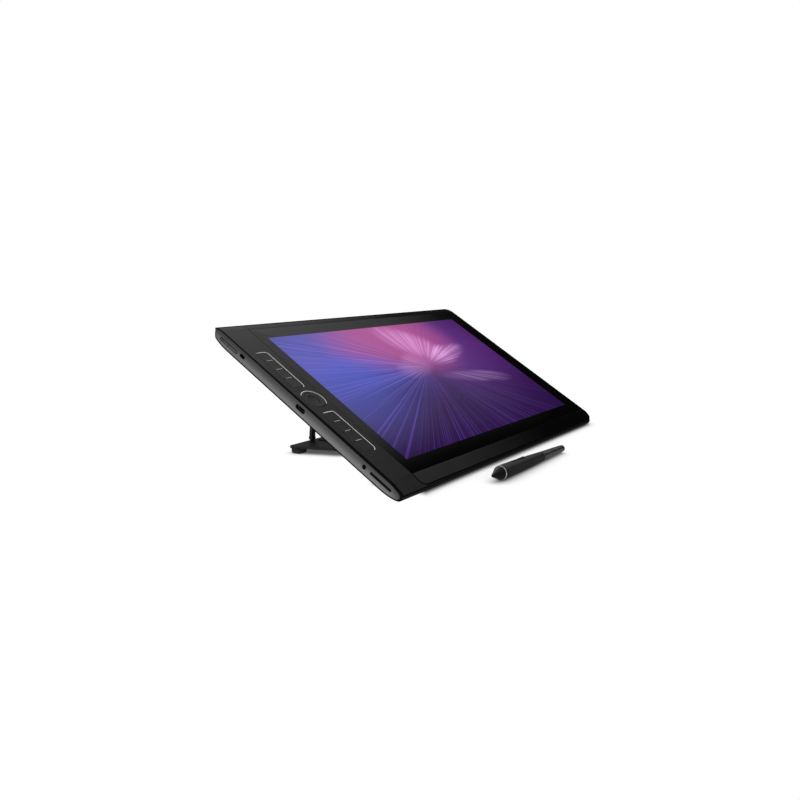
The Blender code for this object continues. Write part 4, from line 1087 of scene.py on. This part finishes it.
def bracket(name, start, rear_x, front_x, end, r=3.0):
    """Line in from the left, down the inner side of a row of keys, then a short hook back."""
    (x0, y0), (end_x, end_y) = start, end
    path = [(x0 + (rear_x - r - x0) * k / 8, y0 + 0.35 * math.sin(math.pi * k / 10))
            for k in range(9)]
    top = path[-1][1]
    path += [(rear_x - r + r * math.sin(rad(a)), top - r + r * math.cos(rad(a)))
             for a in range(8, 90, 8)]
    hook_y = end_y + 4.4
    path += [(rear_x + (front_x - rear_x) * k / 24, top - r + (hook_y - top + r) * k / 24)
             for k in range(25)]
    for t in (k / 6 for k in range(1, 7)):
        a, b, c = (1 - t) ** 2, 2 * t * (1 - t), t * t
        path.append((front_x * a + front_x * b + end_x * c,
                     hook_y * a + (hook_y - 2.7) * b + end_y * c))
    printed_line(name, path, width=0.68)


bracket("upper_key_bracket", (-197.8, 79.0), rear_x=-184.1, front_x=-184.1, end=(-186.4, 22.3))
bracket("lower_key_bracket", (-197.5, -15.9), rear_x=-183.6, front_x=-183.0, end=(-186.4, -72.9))
ARC_R = 12.4
printed_line("ring_arc_print",
             [(RING_AT[0] + ARC_R * math.cos(rad(a)), RING_AT[1] + ARC_R * math.sin(rad(a)))
              for a in range(142, -48, -3)], width=0.62, taper=0.35)

# ---------------------------------------------------------------- ring and home button
RING = TABLET @ shift(*RING_AT)
# (n, radius) round the ring's section
RING_SECTION = [
    (-2.4, 5.95), (-2.4, 11.25), (-0.05, 11.25), (0.10, 11.18), (0.24, 11.0), (0.33, 10.7),
    (0.36, 10.3), (0.30, 9.6), (0.16, 8.8), (0.10, 8.2), (0.12, 7.6), (0.20, 7.0), (0.26, 6.6),
    (0.24, 6.3), (0.12, 6.05), (-0.05, 5.95)]
# (n, radius)
HOME_PROFILE = [
    (-2.3, 0), (-2.3, 5.5), (-0.95, 5.5), (-0.76, 5.44), (-0.66, 5.25), (-0.62, 4.95),
    (-0.70, 4.6), (-0.78, 4.0), (-0.86, 2.0), (-0.88, 0)]


def closed_ring(section, seg=128):
    bm = bmesh.new()
    rings = [[bm.verts.new((x, y, n)) for x, y in circle(r, (0, 0), seg)] for n, r in section]
    for a, b in zip(rings, rings[1:] + rings[:1]):
        for k in range(seg):
            j = (k + 1) % seg
            bm.faces.new((a[k], a[j], b[j], b[k]))
    return bm


build("touch_ring", closed_ring(RING_SECTION), "ring_satin", RING, "ring", "rocker_ring",
      50, weighted=False)
build("home_button_cap", turned(HOME_PROFILE, 96, "Z"), "ring_satin", RING, "home", "home_button",
      50, weighted=False)


# ---------------------------------------------------------------- side buttons
def pill(name, length, side, body, node, slits=()):
    steps = [(-2.2, 0.0), (1.72, 0.0), (1.96, -0.10), (2.10, -0.28), (2.14, -0.6)]
    bm = stepped(lambda d: stadium(length, 2.3, grow=d), [(side * x, d) for x, d in steps], "X")
    cutter = bmesh.new()
    for y in slits:
        box((0.7, 0.45, 5.0), (side * 2.2, y, 0), cutter)
    build(name, bm, "side_button_satin", TABLET @ shift(side * 207.2, BUTTON_Y, BUTTON_N), body,
          node, 40, cutters=[cutter] if slits else ())


pill("volume_pill", 24.8, -1, "volume", "volume_rocker", [-0.6, 0.6] + [7.4 + 1.1 * k for k in range(4)])
pill("power_pill", 13.8, 1, "power", "power_button")

# ---------------------------------------------------------------- feet
# (n, radius) of the round rear feet
DOME = [(BELLY_N - depth, r) for depth, r in (
    (0.35, 0), (0.35, 6.95), (1.9, 6.95), (2.5, 6.7), (2.8, 6.2), (2.85, 5.0), (2.7, 0))]


def front_foot(side):
    """Wedge from the underside down to the floor."""
    ys = spread(-119.0, -105.0, 8)
    upper = [(y, under_n(150, y) - 0.35) for y in ys]
    lower = [(y, -(ORIGIN.z * 1000 - y * N_AXIS.y) / N_AXIS.z) for y in ys[::-1]]
    return prism(upper + lower, side * 120.0, side * 180.0, "X")


for word, side in SIDES:
    build("front_rubber_" + word, front_foot(side), "rubber_black", TABLET, "tablet",
          "front_foot_" + word, 30, bevel=(0.5, 3, 40))
    build("rear_rubber_" + word, turned(DOME, 64, "Z"), "rubber_black",
          TABLET @ shift(side * 160.0, 90.0), "tablet", "rear_foot_" + word, 40)

# ---------------------------------------------------------------- stand: plate under the tablet
PLATE_N = (BELLY_N - GAP - 3.0, BELLY_N - GAP)
STRUT_PIN = (82.6, -32.0)    # y, n of the strut's hinge
LEG_X = 95.0


def ear_outline(at, foot, half, r, seg=14):
    """Tongue that stands on the level foot and ends in a round about at."""
    down = -1 if at[1] < foot else 1
    angles = [math.pi * k / seg for k in range(seg + 1)]
    return [(at[0] - half, foot), (at[0] + half, foot)] + [
        (at[0] + r * math.cos(a), at[1] + down * r * math.sin(a)) for a in angles]


def mount_plate():
    ears = [prism(ear_outline(STRUT_PIN, PLATE_N[0] + 1.0, 6.5, 4.4), side * inner, side * outer, "X")
            for side in (-1, 1) for inner, outer in ((87.2, 91.2), (98.8, 102.8))]
    bores, sinks = bmesh.new(), bmesh.new()
    for side in (-1, 1):
        cylinder(2.15, 24, (side * LEG_X, *STRUT_PIN), "X", 40, bores)
    for x, y in SCREWS:
        cylinder(SCREW_HOLE, 8, (x, y, PLATE_N[1]), seg=32, bm=bores)
        cylinder(3.2, 4.0, (x, y, PLATE_N[0] - 0.2), seg=40, bm=sinks)
    build("stand_plate", prism(rounded(-112, 112, 66, 110, 6, 8), *PLATE_N), "stand_powder_coat",
          TABLET, "tablet", "stand_mount_plate", 35, joins=ears, cutters=[bores, sinks],
          bevel=(0.35, 2, 40))


mount_plate()

# ---------------------------------------------------------------- stand: strut frame
REACH = (HINGE - FOOT).length * 1000
TOP_EYE, FOOT_EYE, LEG_T = 2.75, 2.4, 1.5    # radii of the eyes, half thickness of a leg
LEG_HALF = 2.7
# (half thickness, z) down one face of a leg
LEG_SIDE = [(2.1, 0.3), (2.05, -3.0), (1.9, -6.0), (1.68, -9.0), (LEG_T, -12.0),
            (LEG_T, -REACH + 13.0), (1.62, -REACH + 9.0), (1.95, -REACH + 5.0), (1.95, -REACH - 0.4)]
# (x, z) of the panel between the legs
WEB = [(-93.0, -9.0), (93.0, -9.0), (93.0, -30.0), (91.5, -27.2), (89.0, -24.6), (85.0, -23.0),
       (-85.0, -23.0), (-89.0, -24.6), (-91.5, -27.2), (-93.0, -30.0)]
# (x from the leg's middle, height over the base hinge) of the leg's wider foot
LEG_FOOT = [(-3.1, -0.9), (3.1, -0.9), (3.1, 4.0), (2.75, 8.5), (2.4, 13.7), (-2.4, 13.7),
            (-2.75, 8.5), (-3.1, 4.0)]


def leg(side):
    outline = LEG_SIDE + [(-u, v) for u, v in reversed(LEG_SIDE)]
    return prism(outline, side * LEG_X - LEG_HALF, side * LEG_X + LEG_HALF, "X")


def boss(radius, half, centre):
    bm = rod(radius, half, chamfer=0.3, middle=(0.09, 0.09), seg=64)
    bmesh.ops.translate(bm, vec=centre, verts=bm.verts)
    return bm


def strut_frame():
    joins = [leg(1), prism(WEB, -1.2, 1.2, "Y")]
    eyes, forks = bmesh.new(), bmesh.new()
    for x in (-LEG_X, LEG_X):
        joins.append(boss(FOOT_EYE, 3.2, (x, 0, -REACH)))
        joins.append(boss(TOP_EYE, 3.0, (x, 0, 0)))
        joins.append(prism([(x + u, -REACH + v) for u, v in LEG_FOOT], -1.7, 1.7, "Y"))
        cylinder(2.1, 12, (x, 0, 0), "X", 48, eyes)
        cylinder(1.25, 12, (x, 0, -REACH), "X", 40, eyes)
        box((2.7, 8.0, 9.4), (x, 0, -REACH - 0.3), forks)
    build("stand_strut_frame", leg(-1), "strut_powder_coat", STRUT, "strut", "stand_strut",
          35, joins=joins, cutters=[eyes, forks], bevel=(0.2, 2, 50))


strut_frame()

# ---------------------------------------------------------------- stand: base plate and its pads
PLATE_LOW, PLATE_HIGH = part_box("stand_base_plate")
FOOT_Y, FOOT_Z = FOOT.y * 1000, FOOT.z * 1000
REAR, FRONT = PLATE_HIGH.y * 1000 - FOOT_Y, PLATE_LOW.y * 1000 - FOOT_Y
HALF_REAR, HALF_FRONT = 129.5, 106.1    # half widths
BOTTOM, TOP_Z = 5.2 - FOOT_Z, 8.0 - FOOT_Z
# (y, height over the plate) of the low ribs
RIB = [(-36.0, -0.7), (-5.0, -0.7), (-5.0, 0.7), (-5.3, 1.1), (-5.9, 1.3), (-33.0, 1.3),
       (-34.6, 0.9), (-36.0, 0.1)]


def base_slab(inset=0.42):
    """Trapezium, wider at the rear, with rounded corners and edges."""
    plan = round_corners(
        [(-HALF_FRONT - 0.4, FRONT), (HALF_FRONT + 0.4, FRONT), (HALF_REAR - 0.6, REAR - 3.0),
         (HALF_REAR - 2.6, REAR), (-HALF_REAR + 2.6, REAR), (-HALF_REAR + 0.6, REAR - 3.0)],
        (7.0, 7.0, 2.2, 1.2, 1.2, 2.2))
    middle = (REAR + FRONT) / 2
    inner = [(x * (1 - inset / 125), (y - middle) * (1 - inset / 30) + middle) for x, y in plan]

    def inwards(t):
        return [(a[0] * (1 - t) + b[0] * t, a[1] * (1 - t) + b[1] * t) for a, b in zip(plan, inner)]

    return stepped(inwards, [(BOTTOM, 1), (BOTTOM + 0.12, 0.5), (BOTTOM + 0.5, 0),
                             (TOP_Z - 0.5, 0), (TOP_Z - 0.13, 0.3), (TOP_Z, 1)])


def stand_base():
    joins = []
    bores = bmesh.new()
    lug = ear_outline((0, 0), 7.2 - FOOT_Z, 2.3, 2.3)
    rib = [(y, TOP_Z + z) for y, z in RIB]
    for side in (-1, 1):
        joins.append(prism(lug, side * LEG_X - 1.05, side * LEG_X + 1.05, "X"))
        joins.append(prism(rib, side * 90.0 - 0.65, side * 90.0 + 0.65, "X"))
        cylinder(1.25, 6, (side * LEG_X, 0, 0), "X", 40, bores)
    well = round_corners([(-76.0, FRONT + 9), (76.0, FRONT + 9), (82.0, REAR - 10), (-82.0, REAR - 10)],
                         (2.0,) * 4)
    build("stand_base", base_slab(), "stand_powder_coat", BASE, "base", "stand_base_plate",
          28, joins=joins, cutters=[bores, prism(well, TOP_Z - 1.0, 12)])


def base_pad(word):
    """Pad filling the box of its node, rounded below."""
    low, high = (corner * 1000 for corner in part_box("base_pad_" + word))
    steps = [(0.0, -1.5), (0.06, -1.1), (0.3, -0.75), (0.9, -0.45), (2.6, 0.0)]
    bm = stepped(lambda d: rounded(low.x, high.x, low.y, high.y, 3.0, 6, d),
                 [(low.z + z, d) for z, d in steps] + [(high.z, 0.0)])
    build("base_rubber_" + word, bm, "rubber_black", Matrix(), "base", "base_pad_" + word,
          40)


stand_base()
for word in ("left", "right", "front"):
    base_pad(word)

# ---------------------------------------------------------------- pen
# profiles are (x, radius)
CONE = [(1.6, 0), (1.6, 1.0), (1.75, 1.16), (2.2, 1.4), (3.5, 1.95), (6.0, 2.95), (9.0, 4.15),
        (12.0, 5.32), (14.2, 6.18), (15.1, 6.5), (15.6, 6.55), (15.6, 0)]
NIB = [(0, 0), (0.08, 0.22), (0.25, 0.42), (0.6, 0.58), (1.2, 0.65), (10.0, 0.65), (10.0, 0)]
ACCENT = [(15.9, 0), (15.9, 6.62), (16.0, 6.78), (16.2, 6.88), (16.7, 6.9), (16.9, 6.86),
          (17.0, 6.75), (17.0, 0)]
GRIP = ([(17.3, 0), (17.3, 6.5)]
        + curve_through([(17.4, 6.72), (17.9, 6.93), (18.8, 7.05), (20.0, 7.09), (26.0, 7.04),
                         (33.0, 6.95), (40.0, 6.83), (48.0, 6.67), (56.0, 6.49), (66.0, 6.28),
                         (75.0, 6.08), (83.0, 5.82), (90.0, 5.55), (101.2, 5.14)], per=9)
        + [(101.6, 5.08), (101.7, 4.9), (101.7, 0)])
BARREL = ([(102.0, 0), (102.0, 4.85), (102.08, 5.02)]
          + curve_through([(102.3, 5.10), (110.0, 4.90), (118.0, 4.70), (127.0, 4.45),
                           (136.0, 4.2), (144.0, 3.96), (150.4, 3.78)], per=12)
          + [(150.72, 3.7), (150.85, 3.5), (150.85, 0)])
TAIL = [(0, 0), (0, 3.45), (0.25, 3.66), (1.4, 3.62), (2.4, 3.42), (3.1, 3.0), (3.5, 2.4),
        (3.68, 1.4), (3.7, 0)]
TAIL_X = 151.3


def facets(x, a):
    """Shallow flats round the cone that fade out towards its ends."""
    fade = max(0.0, min(1.0, (x - 2.0) / 3.0)) * max(0.0, min(1.0, (15.0 - x) / 1.2))
    return 1.0 - 0.035 * abs(math.sin(a * 4.0)) ** 0.7 * fade


def side_switch(length=27.1, width=3.1, n=80, m=12):
    """Long rounded button, low in the middle, with four grooves across; n by m quads."""
    bm = bmesh.new()
    rows = []
    for k in range(n + 1):
        x = -length / 2 + length * k / n
        end = max(0.0, abs(x) - (length / 2 - width / 2))
        half = max(0.02, math.sqrt(max(0.0, (width / 2) ** 2 - end ** 2)))
        groove = -sum(0.28 * math.exp(-((x - g) / 0.32) ** 2) for g in (-9.6, -4.8, 0.0, 4.8))
        edge = 1 - smooth01(end / (width / 2)) * 0.5
        top = (0.42 + 0.26 * (x / (length / 2)) ** 2 + groove) * edge
        rows.append([bm.verts.new((x, -half + 2 * half * j / m,
                                   -0.35 + (top + 0.35) * (1 - abs(2 * j / m - 1) ** 4)))
                     for j in range(m + 1)])
    low = [[bm.verts.new((v.co.x, v.co.y, -1.8)) for v in row] for row in rows]
    for a in range(n):
        for j in range(m):
            bm.faces.new((rows[a][j], rows[a][j + 1], rows[a + 1][j + 1], rows[a + 1][j]))
            bm.faces.new((low[a][j], low[a + 1][j], low[a + 1][j + 1], low[a][j + 1]))
        bm.faces.new((rows[a][0], rows[a + 1][0], low[a + 1][0], low[a][0]))
        bm.faces.new((rows[a][m], low[a][m], low[a + 1][m], rows[a + 1][m]))
    bm.faces.new([*rows[0][::-1], *low[0]])
    bm.faces.new([*rows[-1], *low[-1][::-1]])
    return bm


build("pen_cone", turned(CONE, 128, shape=facets), "pen_cone_satin", PEN, "pen", "pen_nose_cone",
      40, cutters=[cylinder(0.85, 30, (0, 0, 0), "X", 32)], weighted=False)
build("pen_nib_tip", turned(NIB, 48), "pen_cone_satin", PEN, "nib", "pen_nib", 40,
      weighted=False)
build("pen_ring", turned(ACCENT, 96), "pen_ring_satin", PEN, "pen", "pen_accent_ring",
      40, weighted=False)
build("pen_grip_sleeve", turned(GRIP, 96), "pen_grip_rubber", PEN, "pen", "pen_grip",
      35, cutters=[prism(stadium(27.9, 3.8, (SWITCH_X, 0)), 3.9, 12)], weighted=False)
build("pen_barrel_shell", turned(BARREL, 96), "pen_body_satin", PEN, "pen", "pen_barrel",
      40, weighted=False)
build("pen_tail", turned(TAIL), "rubber_black", PEN @ shift(TAIL_X, 0), "tail",
      "pen_tail_eraser", 50, weighted=False)
build("pen_switch", side_switch(), "pen_switch_satin", basis(PEN_X, PEN_Y, PEN_Z, SWITCH_AT),
      "side_switch", "pen_side_switch", 40, weighted=False)

# ---------------------------------------------------------------- screws and pins
# (height, radius)
SCREW = [(-0.05, 0), (-0.05, 2.4), (0.1, 2.75), (0.35, 2.88), (1.5, 2.88), (1.5, 1.5), (7.6, 1.5),
         (7.8, 1.3), (7.8, 0)]
# six-pointed star recess in the screw's head
STAR_R = 1.45
STAR = [(STAR_R * math.cos(rad(30 * j)) * dip, STAR_R * math.sin(rad(30 * j)) * dip)
        for j, dip in enumerate((1.0, 0.72) * 6)]

for k, (x, y) in enumerate(SCREWS, 1):
    build("plate_screw_%d" % k, turned(SCREW, 48, "Z"), "steel_satin",
          TABLET @ shift(x, y, PLATE_N[0] + 0.05), "tablet", "stand_screw_%d" % k, 40,
          cutters=[prism(STAR, -1.0, 0.95)])


def pin(name, radius, length, matrix, body, node):
    bm = rod(radius, length / 2, chamfer=0.25, middle=(0.07, 0.08), seg=48)
    build(name, bm, "pin_black_oxide", matrix, body, node, 40, weighted=False)


for word, side in SIDES:
    pin("strut_hinge_pin_" + word, 1.9, 17.0, TABLET @ shift(side * LEG_X, *STRUT_PIN), "tablet",
        "strut_pin_" + word)
    pin("base_hinge_pin_" + word, 1.0, 6.6, BASE @ shift(side * LEG_X, 0), "base",
        "base_pin_" + word)

# ---------------------------------------------------------------- pieces kept from the frame
KEPT = {
    "lcd_panel": "panel_film", "digitizer_board": "board_mask", "mid_chassis": "chassis_stamped",
    "main_board": "board_mask", "battery_pack": "battery_wrap", "fan_housing": "socket_plastic",
    "fan_rotor": "socket_plastic", "heat_pipe": "copper_bare", "speaker_left": "socket_plastic",
    "speaker_right": "socket_plastic", "key_board": "board_mask", "audio_jack": "socket_plastic",
    "sd_card_socket": "port_shell", "usb_c_socket_left": "port_shell",
    "usb_c_socket_right": "port_shell", "rocker_gimbal": "core_steel"}
for name, node in frame["nodes"].items():
    if node.hide_render:
        continue
    node.data.materials.clear()
    node.data.materials.append(MATERIAL[KEPT[name]])
    weld = node.modifiers.new("weld", "WELD")
    weld.merge_threshold = 0.000005
    edge = node.modifiers.new("edge", "BEVEL")
    edge.width = 0.00015
    edge.segments = 2
    edge.limit_method = "ANGLE"
    edge.angle_limit = rad(40)


# ---------------------------------------------------------------- floor
def floor_material():
    """Glowing white with painted contact shadow: it darkens close to the product, except outside its
    left panel.
    """
    net = Net("floor_white", own=False)
    occlusion = add_node(net.tree, "ShaderNodeAmbientOcclusion",
                         {"Distance": 0.020, "Color": (1, 1, 1)}, samples=12)
    # painted shadow: darker where the occlusion test finds the product near
    clear = Value(occlusion, "AO").ramp(0.08, 0.92, smooth=False) ** 1.15
    across = dot(net.value("ShaderNodeNewGeometry", "Position"), X_AXIS) - ORIGIN.x
    # no painted shadow outside the left panel
    clear = maximum(clear, across.ramp(-0.165, -0.182))
    white = mix(noise(net.at, 6, detail=2, rough=0.5), (1.0, 1.0, 1.0), (0.985, 0.985, 0.985))
    net.set(color=(0.0, 0.0, 0.0), rough=0.9, spec=0.0,
            emission=mix(clear, (0.07, 0.07, 0.07), white), strength=1.02)
    return net.material


def floor():
    bm = bmesh.new()
    bmesh.ops.create_grid(bm, x_segments=2, y_segments=2, size=12.0)
    mesh = bpy.data.meshes.new("floor")
    bm.to_mesh(mesh)
    bm.free()
    thing = bpy.data.objects.new("floor", mesh)
    thing.location.z = -0.0002
    bpy.context.scene.collection.objects.link(thing)
    mesh.materials.append(floor_material())


floor()


# ---------------------------------------------------------------- lights
def area_light(name, at, towards, size, power):
    data = bpy.data.lights.new(name, "AREA")
    data.energy = power
    data.shape = "RECTANGLE"
    data.size, data.size_y = size
    light = bpy.data.objects.new(name, data)
    light.location = at
    light.rotation_mode = "QUATERNION"
    light.rotation_quaternion = (Vector(towards) - Vector(at)).to_track_quat("-Z", "Y")
    bpy.context.scene.collection.objects.link(light)
    return light


def studio_world():
    """Even white for diffuse light; reflections see a dark room with two soft lobes of light."""
    world = bpy.data.worlds.new("studio")
    bpy.context.scene.world = world
    world.use_nodes = True
    tree = world.node_tree
    tree.nodes.clear()
    at = Value(add_node(tree, "ShaderNodeTexCoord"), "Generated")

    def lobe(direction, start, full, level):
        return dot(at, Vector(direction).normalized()).ramp(start, full, top=level)

    def background(colour):
        return Value(add_node(tree, "ShaderNodeBackground", {0: colour, "Strength": 1.0}))

    tone = (lobe((-0.25, 0.62, 0.74), start=0.18, full=0.80, level=0.62)    # high at the rear
            + lobe((-0.8, -0.5, 0.1), start=0.2, full=1.0, level=0.35)      # low at the front left
            + 0.012)
    glossy = Value(add_node(tree, "ShaderNodeLightPath"), "Is Glossy Ray")
    light = derive("ShaderNodeMixShader", {0: glossy, 1: background((1, 1, 1)), 2: background(tone)})
    add_node(tree, "ShaderNodeOutputWorld", {0: light})


def pen_light():
    """A soft strip light for the pen alone."""
    light = area_light("pen_light", at=(0.75, -0.13, 0.53), towards=(-0.03, -0.12, 0.01),
                       size=(2.6, 0.22), power=3.0)
    lit = bpy.data.collections.new("pen_light_receivers")
    for thing in list(bpy.context.scene.objects):
        if thing.name.startswith("pen_") and thing.type == "MESH" and not thing.hide_render:
            lit.objects.link(thing)
    light.light_linking.receiver_collection = lit


area_light("side_light", at=(-1.5, -0.9, 0.5), towards=(-0.2, 0.0, 0.05), size=(1.0, 0.5), power=4.0)
studio_world()
pen_light()


# ---------------------------------------------------------------- camera
def camera():
    data = bpy.data.cameras.new("camera")
    data.sensor_width = 36.0
    data.lens = 35.39
    data.shift_x = -0.005
    data.shift_y = 0.01125
    data.clip_start = 0.02
    thing = bpy.data.objects.new("camera", data)
    bpy.context.scene.collection.objects.link(thing)
    screen = TABLET @ Vector((SCREEN_AT[0] * MM, SCREEN_AT[1] * MM, 0))
    eye = screen + Vector((-0.7329, -0.4731, 0.1189))
    right = Vector((0.5738, -0.8190, 0.0)).normalized()
    back = right.cross(Vector((0.1452, 0.1025, 0.9841)).normalized())
    thing.matrix_world = basis(right, back.cross(right), back, eye)
    bpy.context.scene.camera = thing


camera()
bpy.context.scene.view_settings.view_transform = "Standard"
